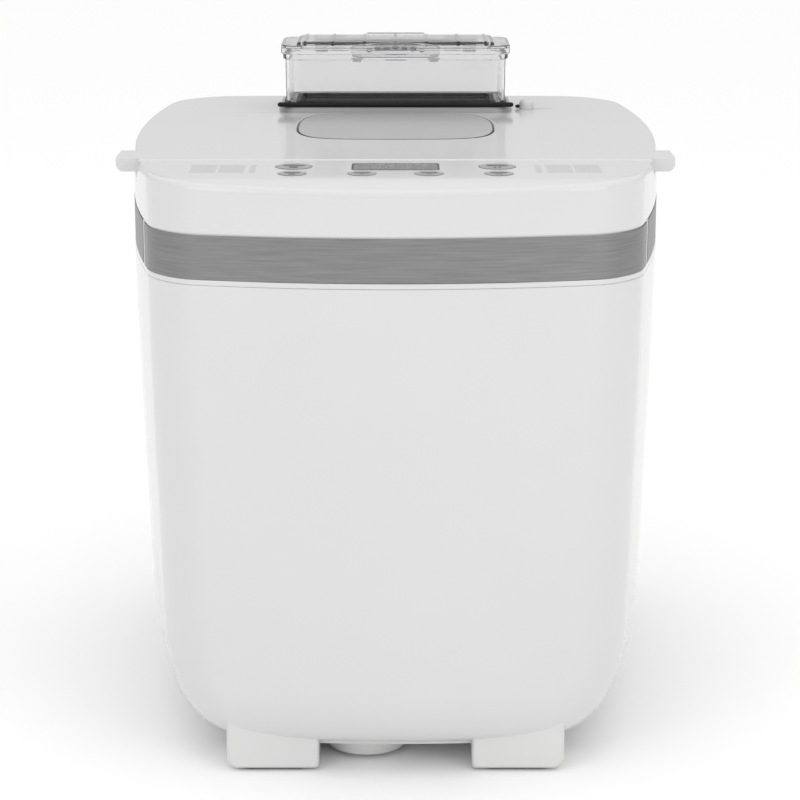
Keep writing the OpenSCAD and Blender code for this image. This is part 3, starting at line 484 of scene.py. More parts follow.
lid_shelf = plate("lid_shelf", [rear_part(body_outline(4.0), SPLIT_Y - 0.25),
                                round_box(WELL_W + 2, WELL_L + 2, 15, 0, WELL_Y)],
                  SEAM_Z - 3.0, SEAM_Z - 0.5, 0.0, body_white)
well_levels = grown(WELL_W, WELL_L, [
    (5, 16.5, WELL_Z), (5, 16.5, SEAM_Z - 0.6), (3, 15.5, SEAM_Z - 0.5), (1, 14.5, SEAM_Z - 0.8),
    (0, 14, SEAM_Z - 2.0), (0, 14, WELL_Z + 5), (-0.8, 13.6, WELL_Z + 3.8), (-3, 12.5, WELL_Z + 3)])
mouth_levels = grown(CHAMBER_W, CHAMBER_L, [
    (0, 20, WELL_Z + 3), (-1.6, 19.2, WELL_Z + 2.6), (-2, 19, WELL_Z + 1.5), (-2, 19, WELL_Z)])
well = ring_stack("lid_well", box_rings(well_levels, WELL_Y) + box_rings(mouth_levels, OVEN_Y), body_white)
split_wall = plate("split_wall", [[(x, y) for x, y in ((-125, SPLIT_Y - 2.75), (125, SPLIT_Y - 2.75),
                                                       (125, SPLIT_Y - 0.25), (-125, SPLIT_Y - 0.25))]],
                   WELL_Z, KEY_DECK - 0.5, 0.0, body_white)


def pin_round(name, x0, x1, y, z, radii, material, steps=40):
    """A turned piece along X: radii are (share of the length, radius)."""
    rings = []
    for share, r in radii:
        x = x0 + (x1 - x0) * share
        rings.append([(x, y + r * math.cos(2 * math.pi * i / steps),
                       z + r * math.sin(2 * math.pi * i / steps))
                      for i in range(steps)])
    return ring_stack(name, rings, material, closed=False, caps=True)


HINGE_X, HINGE_Y, HINGE_Z = 70.0, REAR_Y + 4.0, SEAM_Z
SIDES = ((-1, "left"), (1, "right"))
lug_shape = ((0, 4.2), (0.07, 5.0), (0.93, 5.0), (1, 4.2))
upper_pieces = [frame_rim, control_deck, lid_shelf, well, split_wall]
for side, hand in SIDES:
    for dx in (-11.5, 11.5):
        x = side * HINGE_X + dx
        label = "%s_%s" % (hand, "outer" if dx * side > 0 else "inner")
        upper_pieces.append(pin_round("hinge_lug_" + label, x - 4.5, x + 4.5, HINGE_Y, HINGE_Z, lug_shape,
                                      body_white))
        upper_pieces.append(plate("hinge_web_" + label, [[(x - 4.3, REAR_Y - 4), (x + 4.3, REAR_Y - 4),
                                                          (x + 4.3, HINGE_Y), (x - 4.3, HINGE_Y)]],
                                  HINGE_Z - 9, HINGE_Z - 1, 0.8, body_white))
for side, label in SIDES:
    at = [p for p in body_outline(0.15, fine=6) if p[0] * side > 0 and FRONT_Y + 49 < p[1] < FRONT_Y + 51.5]
    inner = [(x - side * 1.5, y) for x, y in reversed(at)]
    upper_pieces.append(plate("band_rib_" + label, [at + inner], BAND_LOW - 0.2,
                              BAND_TOP + 0.8, 0.0, body_white))
for piece in upper_pieces:
    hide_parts("upper_frame")
    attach(piece, "body")


# ---- Steel band ----
# A thin stainless strip in three lengths, brushed along its length, let into the white rim below the deck.
def brushed(name, colour, rough, along, fine=1400.0):
    """Brushed metal: long fine scratches along one direction in colour, roughness and height."""
    material = bpy.data.materials.new(name)
    material.use_nodes = True
    tree = material.node_tree
    shader = tree.nodes["Principled BSDF"]
    shader.inputs["Metallic"].default_value = 1.0
    shader.inputs["Anisotropic"].default_value = 0.5
    place, stretch = tree.nodes.new("ShaderNodeTexCoord"), tree.nodes.new("ShaderNodeMapping")
    stretch.inputs["Scale"].default_value = along
    scratch = tree.nodes.new("ShaderNodeTexNoise")
    scratch.inputs["Scale"].default_value = fine
    scratch.inputs["Detail"].default_value = 4.0
    tint, gloss = tree.nodes.new("ShaderNodeValToRGB"), tree.nodes.new("ShaderNodeMapRange")
    tint.color_ramp.elements[0].position, tint.color_ramp.elements[1].position = 0.3, 0.7
    tint.color_ramp.elements[0].color = (*[c * 0.86 for c in colour], 1.0)
    tint.color_ramp.elements[1].color = (*[min(1.0, c * 1.12) for c in colour], 1.0)
    gloss.inputs["To Min"].default_value, gloss.inputs["To Max"].default_value = rough * 0.8, rough * 1.25
    bump = tree.nodes.new("ShaderNodeBump")
    bump.inputs["Strength"].default_value, bump.inputs["Distance"].default_value = 0.08, 0.0002
    link = tree.links.new
    link(place.outputs["Object"], stretch.inputs["Vector"])
    link(stretch.outputs["Vector"], scratch.inputs["Vector"])
    link(scratch.outputs["Fac"], tint.inputs["Fac"])
    link(tint.outputs["Color"], shader.inputs["Base Color"])
    link(scratch.outputs["Fac"], gloss.inputs["Value"])
    link(gloss.outputs["Result"], shader.inputs["Roughness"])
    link(scratch.outputs["Fac"], bump.inputs["Height"])
    link(bump.outputs["Normal"], shader.inputs["Normal"])
    return material


band_steel = brushed("brushed_band_steel", (0.25, 0.25, 0.25), 0.36, (0.03, 0.03, 1.0))


def band_strip(name, node, keep):
    """A strip of the band: the outline's stretch that keep() picks, with rounded long edges."""
    section = [(1.0, BAND_LOW + 0.1), (0.45, BAND_LOW + 0.1), (0.25, BAND_LOW + 0.4), (0.25, BAND_TOP - 0.4),
               (0.45, BAND_TOP - 0.1), (1.0, BAND_TOP - 0.1)]
    whole = {inset: body_outline(inset, fine=3) for inset in (0.25, 0.45, 1.0)}
    n = len(whole[0.25])
    wanted = [i for i in range(n) if keep(*whole[0.25][i])]
    breaks = [k for k in range(1, len(wanted)) if wanted[k] - wanted[k - 1] > 1]
    if breaks:
        wanted = wanted[breaks[0]:] + wanted[:breaks[0]]
    points = [(*whole[inset][i], z) for i in wanted for inset, z in section]
    m = len(section)
    faces = [(a * m + j, (a + 1) * m + j, (a + 1) * m + (j + 1) % m, a * m + (j + 1) % m)
             for a in range(len(wanted) - 1) for j in range(m)]
    faces += [tuple(range(m)), tuple(range((len(wanted) - 1) * m, len(wanted) * m))]
    strip = moulded(name, points, faces, band_steel)
    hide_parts(node)
    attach(strip, "body")


band_strip("steel_band_front", "trim_band_front", lambda x, y: y < FRONT_Y + 48.8)
band_strip("steel_band_left", "trim_band_left", lambda x, y: x < 0 and FRONT_Y + 51.7 < y < REAR_Y - 40)
band_strip("steel_band_right", "trim_band_right", lambda x, y: x > 0 and FRONT_Y + 51.7 < y < REAR_Y - 40)


# ---- Display and control electronics ----
# A smooth smoked lens lies flush in the deck over a seven-segment display, with the board and switches
# under it.
lens_smoke = plastic("display_smoke", (0.16, 0.165, 0.163), 0.12, grain=300.0, depth=0.0, coat=0.3,
                     mottle=0.02, drift=0.0)
digit_ink = plastic("display_ink", (0.05, 0.05, 0.05), 0.4)
digit_pale = plastic("display_segments", (0.225, 0.23, 0.225), 0.35)
display_pane = plate("display_pane", [round_box(SCREEN[0] - 1.0, SCREEN[1] - 1.0, 1.8, 0, SCREEN[2])],
                     KEY_DECK - 1.7, KEY_DECK + 0.15, 0.35, lens_smoke)
display_bezel = plate("display_bezel", [round_box(SCREEN[0] + 0.4, SCREEN[1] + 0.4, 2.2, 0, SCREEN[2]),
                                        round_box(SCREEN[0] - 0.9, SCREEN[1] - 0.9, 1.8, 0, SCREEN[2])],
                      KEY_DECK - 1.7, KEY_DECK + 0.2, 0.15, digit_ink)
SEGMENTS = {"0": "abcdef", "2": "abged", "3": "abgcd"}
strokes = []
for place_x, digit in ((-10.0, "3"), (1.5, "2"), (10.0, "0")):
    cx, cy, w, h = place_x, SCREEN[2], 5.0, 9.0
    bars = {"a": (cx, cy + h / 2, w - 1, 0.9), "g": (cx, cy, w - 1, 0.9), "d": (cx, cy - h / 2, w - 1, 0.9),
            "b": (cx + w / 2, cy + h / 4, 0.9, h / 2 - 1), "c": (cx + w / 2, cy - h / 4, 0.9, h / 2 - 1),
            "f": (cx - w / 2, cy + h / 4, 0.9, h / 2 - 1), "e": (cx - w / 2, cy - h / 4, 0.9, h / 2 - 1)}
    strokes += [bars[k] for k in SEGMENTS[digit]]
strokes += [(-4.3, SCREEN[2] + 1.8, 0.9, 0.9), (-4.3, SCREEN[2] - 1.8, 0.9, 0.9)]
strokes += [(17.0, SCREEN[2] + 5.5 - 2.4 * i, 3.4, 0.7) for i in range(5)]
display_digits = plate("display_digits", [round_box(w, h, 0.3, x, y, 2) for x, y, w, h in strokes],
                       KEY_DECK + 0.14, KEY_DECK + 0.19, 0.0, digit_pale)
for piece in (display_pane, display_bezel, display_digits):
    drop_to_deck(piece)
    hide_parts("display_lens")
    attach(piece, "body")


# ---- Keys ----
# Six round key caps stand just proud of the deck, each with a dished top, a grey rim and a plain sign. A
# dark strip across the rear half of each top is a painted reflection.
key_grey = plastic("key_cap_grey", (0.31, 0.31, 0.315), 0.3, grain=500.0, depth=0.01, mottle=0.03)
key_sign_and_painted_reflection = plastic("key_mark_dark", (0.085, 0.085, 0.087), 0.35)
key_dark = plastic("key_rim_dark", (0.13, 0.13, 0.13), 0.3)


def dial_rings(levels, cx, cy, steps=56):
    """Level circles about one axis at given (radius, height)."""
    return [[(cx + r * math.cos(2 * math.pi * i / steps), cy + r * math.sin(2 * math.pi * i / steps), z)
             for i in range(steps)] for r, z in levels]


def spun(name, levels, cx, cy, material, steps=56, closed=False):
    """A turned piece about an upright axis: levels are (radius, height)."""
    return ring_stack(name, dial_rings(levels, cx, cy, steps), material, closed=closed, caps=not closed)


SIGNS = {
    "menu_button": [(0, 2.2, 6.0, 0.9), (0, 0, 6.0, 0.9), (0, -2.2, 6.0, 0.9)],
    "plus_button": [(0, 0, 5.0, 1.0), (0, 0, 1.0, 5.0)],
    "minus_button": [(0, 0, 5.0, 1.0)],
    "loaf_button": [(0, 0.4, 6.0, 3.4), (0, -2.4, 6.0, 0.8)],
    "crust_button": [(-2.2, 0, 1.3, 4.5), (0, 0, 1.3, 4.5), (2.2, 0, 1.3, 4.5)],
    "start_button": [(-1.7, 0, 1.6, 6.0), (1.7, 0, 1.6, 6.0)],
}
for key, (cx, cy, r) in KEYS.items():
    top = deck_height(cy) + 0.3
    cap = spun(key + "_cap", [(2.4, 294.35), (2.4, 300.2), (r + 1.0, 300.2), (r + 1.0, 301.0), (r, 301.2),
                              (r, top - 0.6),
                              (r - 0.15, top - 0.2), (r - 0.5, top), (r - 1.0, top + 0.02),
                              (r - 1.5, top - 0.12),
                              (r * 0.5, top - 0.2), (0.02, top - 0.22)], cx, cy, key_grey)
    rim = spun(key + "_rim", [(r - 0.02, top - 0.55), (r + 0.22, top - 0.55), (r + 0.22, top - 0.28),
                              (r - 0.12, top - 0.12)],
               cx, cy, key_dark, closed=True)
    # The dark strip across the rear half of the key top is a painted reflection, not an inlaid part.
    marks = [plate(key + "_inlay", [round_box(r * 1.2, r * 0.5, r * 0.24, cx, cy + r * 0.36, 4)], top - 0.3,
                   top - 0.1, 0.0, key_sign_and_painted_reflection)]
    for dx, dy, w, h in SIGNS[key]:
        grow = r / 13
        marks.append(plate(key + "_sign_%d" % len(marks),
                           [round_box(w * grow, h * grow, 0.15, cx + dx * grow, cy - r * 0.3 + dy * grow, 2)],
                           top - 0.3, top - 0.12, 0.0, key_sign_and_painted_reflection))
    for piece in [cap, rim] + marks:
        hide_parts(key)
        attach(piece, key.replace("_button", "_key"))


# ---- Printed programme list ----
# Two faint grey blocks of plain dashes stand for the programme names, printed on the deck beside the keys.
print_grey = plastic("print_grey", (0.49, 0.49, 0.49), 0.4)


def dash_block(name, at, dash):
    """A column of eight printed dashes of one length, lying on the deck."""
    block = slot_rows(name, (1, 1.0), 8, -3.1, dash, 0.06, 1.1, at, "Y")
    block.data.materials.clear()
    block.data.materials.append(print_grey)
    drop_to_deck(block)
    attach(block, "body")


PRINT_Y, PRINT_Z = SPLIT_Y - 16.0, KEY_DECK + 0.03
for side, label in SIDES:
    for bank in range(2):
        dash_block("programme_names_%s_%d" % (label, bank), (side * (80.8 + 14 * bank), PRINT_Y, PRINT_Z),
                   12.6)
    dash_block("programme_numbers_" + label, (side * 70.5, PRINT_Y, PRINT_Z), 3.0)


# ---- Lid ----
# A glossy white moulding with a rounded edge, two lifting tabs and two hinge knuckles; it holds a glass
# window.
WINDOW = (107.6, 104.0, REAR_Y - 138.6)
HOPPER_Y = REAR_Y - 54.5
CHUTE = (120.0, 46.0, 4.0, 0, HOPPER_Y)
CATCH_X, CATCH_Y, CATCH_SLIDE = 76.5, HOPPER_Y - 10.0, 4.0


def window_loop(grow=0.0):
    """The window's outline: full round sides that run into flat front and rear edges, the front one bowed."""
    loop = []
    for i in range(160):
        a = 2 * math.pi * i / 160
        c, n = math.cos(a), math.sin(a)
        u, v = math.copysign(abs(c) ** (2 / 7), c), math.copysign(abs(n) ** (2 / 2.6), n)
        x, y = u * (WINDOW[0] / 2 + grow), v * (WINDOW[1] / 2 + grow)
        loop.append((x, WINDOW[2] + y + (4.0 * u * u if v < 0 else 0.0) * abs(v)))
    return loop


def soft_corner(loop, radius=2.0):
    """Rounds the two sharp corners where the lid's front edge meets its sides."""
    out = []
    n = len(loop)
    for i, p in enumerate(loop):
        a, b = loop[i - 1], loop[(i + 1) % n]
        u = (a[0] - p[0], a[1] - p[1])
        v = (b[0] - p[0], b[1] - p[1])
        lu, lv = math.hypot(*u), math.hypot(*v)
        if lu < 1e-6 or lv < 1e-6:
            continue
        turn = (u[0] * v[0] + u[1] * v[1]) / (lu * lv)
        if turn > -0.6:
            for k in range(7):
                t = k / 6
                q0 = (p[0] + u[0] / lu * min(radius, lu), p[1] + u[1] / lu * min(radius, lu))
                q1 = (p[0] + v[0] / lv * min(radius, lv), p[1] + v[1] / lv * min(radius, lv))
                out.append(((1 - t) ** 2 * q0[0] + 2 * t * (1 - t) * p[0] + t * t * q1[0],
                            (1 - t) ** 2 * q0[1] + 2 * t * (1 - t) * p[1] + t * t * q1[1]))
        else:
            out.append(p)
    return out


lid_loops = [soft_corner(rear_part(body_outline(1.2), SPLIT_Y + 0.25)), window_loop(0.12),
             round_box(*CHUTE), round_box(CATCH_SLIDE + 5.4, 4.8, 2.35, CATCH_X + CATCH_SLIDE / 2, CATCH_Y,
                                          6)]
lid_cover = plate("lid_cover", lid_loops, SEAM_Z, DECK_Z, 1.6, body_white, steps=5)


def side_tab(side):
    """A lifting tab: flat on top, rounded under its outer edge."""
    x0, x1, z0, z1, r = 128.0, 142.3, SEAM_Z + 0.5, DECK_Z - 0.05, 4.0
    edge = [(x0, z1), (x1 - 0.8, z1), (x1 - 0.25, z1 - 0.25), (x1, z1 - 0.8)]
    edge += [(x1 - r + r * math.cos(math.radians(a)), z0 + r + r * math.sin(math.radians(a)))
             for a in range(0, -91, -10)]
    edge += [(x0, z0)]
    y0, y1 = FRONT_Y + 85.0, FRONT_Y + 110.0
    rings = []
    for y, pinch in ((y0, 1.0), (y0 + 0.25, 0.3), (y0 + 1.0, 0.0), (y1 - 1.0, 0.0), (y1 - 0.25, 0.3),
                     (y1, 1.0)):
        mid = (z0 + z1) / 2
        rings.append([(side * (x - pinch if x > x0 + 1 else x), y, z + (mid - z) * pinch / 4) for x,
                      z in edge])
    return ring_stack("lid_tab_" + ("left" if side < 0 else "right"), rings, body_white, closed=False,
                      caps=True)


lid_pieces = [lid_cover, side_tab(-1), side_tab(1)]
for side, label in SIDES:
    lid_pieces.append(pin_round("lid_knuckle_" + label, side * HINGE_X - 6.2, side * HINGE_X + 6.2, HINGE_Y,
                                HINGE_Z, lug_shape, body_white))
    lid_pieces.append(plate("lid_knuckle_web_" + label,
                            [[(side * HINGE_X - 6, REAR_Y - 5), (side * HINGE_X + 6, REAR_Y - 5),
                                                         (side * HINGE_X + 6, HINGE_Y),
                                                         (side * HINGE_X - 6, HINGE_Y)]],
                            HINGE_Z + 0.6, HINGE_Z + 5.0, 0.8, body_white))
# The collar is a real raised rim round the chute, but its grey is painted: a painted reflection of the black
# seal ring and painted shade in the gap beneath it.
collar_grey = plastic("collar_grey", (0.33, 0.33, 0.33), 0.3)
lid_collar = ring_stack("dispenser_collar", box_rings([
    (135.0, 60.0, 12.5, DECK_Z - 0.4), (135.0, 60.0, 12.5, DECK_Z + 0.8), (134.4, 59.4, 12.2, DECK_Z + 2.0),
    (133.4, 58.4, 11.7, DECK_Z + 3.0), (132.2, 57.2, 11.1, DECK_Z + 3.35), (120.4, 46.4, 4.2, DECK_Z + 3.35),
    (120.0, 46.0, 4.0, DECK_Z + 3.0), (120.0, 46.0, 4.0, DECK_Z - 0.4)], HOPPER_Y), collar_grey)
lid_pieces.append(lid_collar)
for piece in lid_pieces:
    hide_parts("lid_shell")
    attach(piece, "lid")


# ---- Window glass ----
# A pane of grey-tinted heat-resistant glass, set flush in the lid on a thin dark bead; a second pane
# closes the liner.
def clear(name, colour, rough, ior, waves=0.0):
    """Glass or clear plastic, with very slight waves in its surface."""
    material = bpy.data.materials.new(name)
    material.use_nodes = True
    tree = material.node_tree
    shader = tree.nodes["Principled BSDF"]
    shader.inputs["Base Color"].default_value = (*colour, 1.0)
    shader.inputs["IOR"].default_value = ior
    shader.inputs["Transmission Weight"].default_value = 1.0
    place, ripple = tree.nodes.new("ShaderNodeTexCoord"), tree.nodes.new("ShaderNodeTexNoise")
    ripple.inputs["Scale"].default_value = 60.0
    gloss, bump = tree.nodes.new("ShaderNodeMapRange"), tree.nodes.new("ShaderNodeBump")
    gloss.inputs["To Min"].default_value, gloss.inputs["To Max"].default_value = rough * 0.7, rough * 1.3
    bump.inputs["Strength"].default_value, bump.inputs["Distance"].default_value = waves, 0.0005
    link = tree.links.new
    link(place.outputs["Object"], ripple.inputs["Vector"])
    link(ripple.outputs["Fac"], gloss.inputs["Value"])
    link(gloss.outputs["Result"], shader.inputs["Roughness"])
    link(ripple.outputs["Fac"], bump.inputs["Height"])
    link(bump.outputs["Normal"], shader.inputs["Normal"])
    return material


window_tint = plastic("tinted_window_glass", (0.45, 0.45, 0.455), 0.28, depth=0.0, mottle=0.004, shine=0.12,
                      drift=0.0)
bead_grey = plastic("window_bead_grey", (0.06, 0.06, 0.06), 0.45, shine=0.2)
window_pane = plate("window_pane", [window_loop(-0.25)], DECK_Z - 2.0, DECK_Z - 0.02, 0.25, window_tint)
window_bead = plate("window_bead", [window_loop(0.1), window_loop(-0.27)], DECK_Z - 2.0, DECK_Z + 0.02, 0.08,
                    bead_grey)
for piece in (window_pane, window_bead):
    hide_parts("lid_window")
    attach(piece, "lid")


# ---- Dispenser seal and box ----
# A clear box with slightly leaning walls drops into the collar and sits on a flat black silicone ring.
# The ring has a round roll along its front edge and an apron inside, round the chute.
seal_black = plastic("seal_black", (0.006, 0.006, 0.006), 0.5, grain=1500.0, depth=0.05, shine=0.25)
clear_box = clear("clear_dispenser_plastic", (0.845, 0.845, 0.85), 0.02, 1.42)
COLLAR_Z, RIM_Z, SEAM, HOP_W, HOP_D = 308.4, 339.0, 338.2, 128.0, 53.0
PIN_Y, PIN_Z = HOPPER_Y + HOP_D / 2 + 2.6, RIM_Z + 1.5


def beaded(w, l, r, cy, z0, z1, bulge, hole, steps=12):
    """The rings of a seal whose outer side is a full half-round."""
    levels = []
    for i in range(steps + 1):
        a = math.radians(-90 + 180 * i / steps)
        out = bulge * math.cos(a)
        levels.append((w - 2 * bulge + 2 * out, l - 2 * bulge + 2 * out, r - bulge + out,
                       (z0 + z1) / 2 + (z1 - z0) / 2 * math.sin(a)))
    levels += [(w - 2 * hole, l - 2 * hole, r - hole, z1 - 0.1),
               (w - 2 * hole, l - 2 * hole, r - hole, z0 + 0.1)]
    return box_rings(levels, cy)


seal_ring = ring_stack("dispenser_seal_ring", beaded(129.6, 55.0, 10.0, HOPPER_Y, COLLAR_Z, COLLAR_Z + 1.2,
                                                     0.6, 1.6), seal_black)
roll_r, roll_y = 1.35, HOPPER_Y - 29.1
roll_ends = [(share, roll_r * math.sqrt(1 - (1 - share / 0.0105) ** 2) if share < 0.0105 else roll_r)
             for share in (0.0003, 0.001, 0.0025, 0.005, 0.0075, 0.0105)]
seal_roll = pin_round("dispenser_seal_roll", -68.0, 68.0, roll_y, COLLAR_Z + roll_r,
                      roll_ends + [(1 - share, r) for share, r in reversed(roll_ends)], seal_black, 28)
seal_web = plate("dispenser_seal_web", [round_box(134.0, 5.0, 1.0, 0, HOPPER_Y - 27.0, 4)], COLLAR_Z + 0.05,
                 COLLAR_Z + 1.6, 0.3, seal_black)
seal_apron = ring_stack("dispenser_seal_apron", box_rings([
    (116.6, 41.6, 4.6, COLLAR_Z + 1.55), (116.6, 41.6, 4.6, COLLAR_Z + 1.7),
    (116.0, 41.0, 4.4, COLLAR_Z + 1.85), (111.0, 37.0, 2.6, COLLAR_Z + 1.85),
    (110.4, 36.4, 2.4, COLLAR_Z + 1.6),
    (110.4, 36.4, 2.4, COLLAR_Z + 0.2), (111.6, 37.6, 2.8, COLLAR_Z + 0.2),
    (111.6, 37.6, 2.8, COLLAR_Z + 1.55)], HOPPER_Y), seal_black)
for piece in (seal_roll, seal_web, seal_apron, seal_ring):
    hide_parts("dispenser_seal")
    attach(piece, "lid")

box_shell = ring_stack("dispenser_box_walls", box_rings([
    (HOP_W - 2.4, HOP_D - 2.4, 8.0, COLLAR_Z + 0.05), (HOP_W - 1.4, HOP_D - 1.4, 8.4, COLLAR_Z + 0.5),
    (HOP_W - 1.2, HOP_D - 1.2, 8.5, COLLAR_Z + 1.2), (HOP_W - 0.6, HOP_D - 0.6, 8.8, SEAM - 3.4),
    (HOP_W + 1.8, HOP_D + 0.6, 9.5, SEAM - 2.9), (HOP_W + 2.4, HOP_D + 1.0, 9.8, SEAM - 0.5),
    (HOP_W + 1.8, HOP_D + 0.6, 9.5, SEAM - 0.05),
    (HOP_W - 3.3, HOP_D - 3.3, 7.5, SEAM - 0.05), (HOP_W - 3.8, HOP_D - 3.8, 7.2, SEAM - 0.4),
    (HOP_W - 4.4, HOP_D - 4.4, 7.0, COLLAR_Z + 3.0), (HOP_W - 5.6, HOP_D - 5.6, 6.4, COLLAR_Z + 1.7),
    (112.0, 38.0, 3.0, COLLAR_Z + 1.5), (112.0, 38.0, 3.0, COLLAR_Z + 0.05)], HOPPER_Y), clear_box)
box_pieces = [box_shell]
for side, label in SIDES:
    y0 = HOPPER_Y - HOP_D / 2
    box_pieces.append(plate("dispenser_catch_nib_" + label,
                            [round_box(7.0, 2.2, 0.8, side * 22, y0 - 0.9, 4)],
                            SEAM - 2.7, SEAM - 1.9, 0.3, clear_box))
    box_pieces.append(pin_round("dispenser_hinge_ear_" + label, side * 44 - 4, side * 44 + 4, PIN_Y, PIN_Z,
                                ((0, 2.0), (0.06, 2.4), (0.94, 2.4), (1, 2.0)), clear_box, 24))
    box_pieces.append(plate("dispenser_ear_web_" + label,
                            [round_box(7.6, 4.0, 0.6, side * 44, HOPPER_Y + HOP_D / 2 + 1.5, 3)],
                            RIM_Z - 5.0, RIM_Z + 0.6, 0.5, clear_box))
for piece in box_pieces:
    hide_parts("hopper_box")
    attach(piece, "lid")


# ---- Dispenser lid ----
# A clear moulding with low end flanges, a raised ribbed middle and cross ribs, hinged on a steel pin
# behind the box.
BACK, FORE = HOPPER_Y + HOP_D / 2 - 1.0, HOPPER_Y - HOP_D / 2 - 2.0
LID_MID = (BACK + FORE) / 2
top_plate = plate("dispenser_lid_plate", [round_box(HOP_W + 4, BACK - FORE, 9.0, 0, LID_MID),
                                          round_box(HOP_W - 19, BACK - FORE - 12, 2.5, 0, LID_MID)],
                                          RIM_Z + 2.6, RIM_Z + 4.3, 0.5, clear_box)
top_cap = ring_stack("dispenser_lid_crown", box_rings([
    (HOP_W - 14, BACK - FORE - 7, 4.0, RIM_Z + 4.35), (HOP_W - 14.6, BACK - FORE - 7.6, 3.8, RIM_Z + 5.2),
    (HOP_W - 15.6, BACK - FORE - 8.6, 3.4, RIM_Z + 5.7),
    (HOP_W - 17.4, BACK - FORE - 10.4, 2.8, RIM_Z + 5.97),
    (12.0, 4.0, 1.0, RIM_Z + 6.0), (12.0, 4.0, 1.0, RIM_Z + 4.8),
    (HOP_W - 19, BACK - FORE - 12, 2.5, RIM_Z + 4.75),
    (HOP_W - 19.4, BACK - FORE - 12.4, 2.4, RIM_Z + 4.35)], LID_MID), clear_box)
cover_pieces = [top_plate, top_cap]
for i, x in enumerate((-52, -36, -18, 0, 18, 36, 52)):
    cover_pieces.append(plate("dispenser_lid_rib_%d" % i,
                              [round_box(1.6, BACK - FORE - 9, 0.6, x, LID_MID, 3)],
                              RIM_Z + 5.95, RIM_Z + 6.4, 0.15, clear_box))
lip_rim = ring_stack("dispenser_lid_skirt", box_rings([
    (HOP_W + 3.4, BACK - FORE - 0.6, 8.7, SEAM + 0.05), (HOP_W + 4, BACK - FORE, 9.0, SEAM + 0.45),
    (HOP_W + 4, BACK - FORE, 9.0, RIM_Z + 2.55),
    (HOP_W + 0.6, BACK - FORE - 3.4, 7.4, RIM_Z + 2.55), (HOP_W + 0.6, BACK - FORE - 3.4, 7.4, SEAM + 0.05)],
    LID_MID), clear_box)
cover_pieces.append(lip_rim)
rear_tab = plate("dispenser_lid_tab", [round_box(34.6, 9.0, 2.0, 0, BACK - 1.0)], RIM_Z + 2.0, RIM_Z + 6.5,
                 0.8, clear_box)
cover_pieces.append(rear_tab)
for side, label in SIDES:
    cover_pieces.append(pin_round("dispenser_lid_knuckle_" + label, side * 34 - 5, side * 34 + 5, PIN_Y,
                                  PIN_Z,
                                  ((0, 2.0), (0.05, 2.4), (0.95, 2.4), (1, 2.0)), clear_box, 24))
    cover_pieces.append(plate("dispenser_knuckle_web_" + label,
                              [round_box(9.6, 6.5, 0.6, side * 34, BACK, 3)],
                              RIM_Z + 1.3, RIM_Z + 3.9, 0.4, clear_box))
rivet_dark = plastic("rivet_dark", (0.01, 0.01, 0.01), 0.35)
for i, x in enumerate((-52, -36, -18, 18, 36, 52)):
    cover_pieces.append(spun("dispenser_lid_stud_%d" % i,
                             [(0.4, RIM_Z + 4.3), (0.95, RIM_Z + 4.3), (0.95, RIM_Z + 5.0),
                              (0.6, RIM_Z + 5.4),
                                                          (0.05, RIM_Z + 5.5)], x, FORE + 2.9, rivet_dark,
                                                          steps=20))
for piece in cover_pieces:
    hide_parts("hopper_lid")
    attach(piece, "dispenser_lid")


# ---- Dispenser latch ----
# A wide clear thumb latch, scalloped for grip, slides on the lid's front edge; two hooks catch nibs on
# the box.
FACE = HOPPER_Y - HOP_D / 2 - 2.3
latch_edge = []
for i in range(61):
    a = math.pi * i / 60
    x = -26.0 * math.cos(a)
    latch_edge.append((x, RIM_Z + 2.2 + 4.1 * (max(0.0, 1 - (x / 26.0) ** 2)) ** 0.35))
latch_edge += [(26.0 - 0.3, RIM_Z + 1.4), (24.5, RIM_Z - 1.6), (20.0, RIM_Z - 2.3), (-20.0, RIM_Z - 2.3),
               (-24.5, RIM_Z - 1.6), (-25.7, RIM_Z + 1.4)]
latch_rings = []
for y, pinch in ((FACE, 0.0), (FACE - 1.6, 0.0), (FACE - 2.15, 0.25), (FACE - 2.4, 0.9)):
    latch_rings.append([(x * (1 - pinch / 26), y, z + (RIM_Z + 2 - z) * pinch / 5) for x, z in latch_edge])
latch_plate = ring_stack("latch_plate", latch_rings, clear_box, closed=False, caps=True)
latch_pieces = [latch_plate]
for i in range(7):
    x = -15.0 + 5.0 * i
    knob = spun("latch_grip_%d" % i, [(0.3, 0.0), (0.8, 0.1), (1.35, 0.5), (1.5, 1.2), (1.35, 1.9),
                                      (0.8, 2.3), (0.05, 2.4)], 0, 0, clear_box, steps=24)
    for v in knob.data.vertices:
        v.co.x, v.co.y, v.co.z = v.co.x + x / 1000, (FACE - 0.9) / 1000 + v.co.y * 0.95, v.co.z + (RIM_Z
                + 0.8 + 1.6 * (1 - abs(i - 3) / 3)) / 1000
    latch_pieces.append(knob)
for side, label in SIDES:
    latch_pieces.append(plate("latch_hook_" + label, [round_box(5.0, 2.4, 0.8, side * 22, FACE - 1.2, 4)],
                              SEAM - 3.9, RIM_Z - 0.5, 0.4, clear_box))
    latch_pieces.append(plate("latch_toe_" + label, [round_box(5.0, 2.9, 0.6, side * 22, FACE + 0.35, 4)],
                              SEAM - 3.9, SEAM - 2.9, 0.35, clear_box))
latch_pieces.append(plate("latch_tongue", [round_box(24.0, 4.2, 0.8, 0, FACE + 1.1, 4)], RIM_Z + 2.05,
                          RIM_Z + 4.0, 0.4, clear_box))
for piece in latch_pieces:
    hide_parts("hopper_latch")
    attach(piece, "latch")


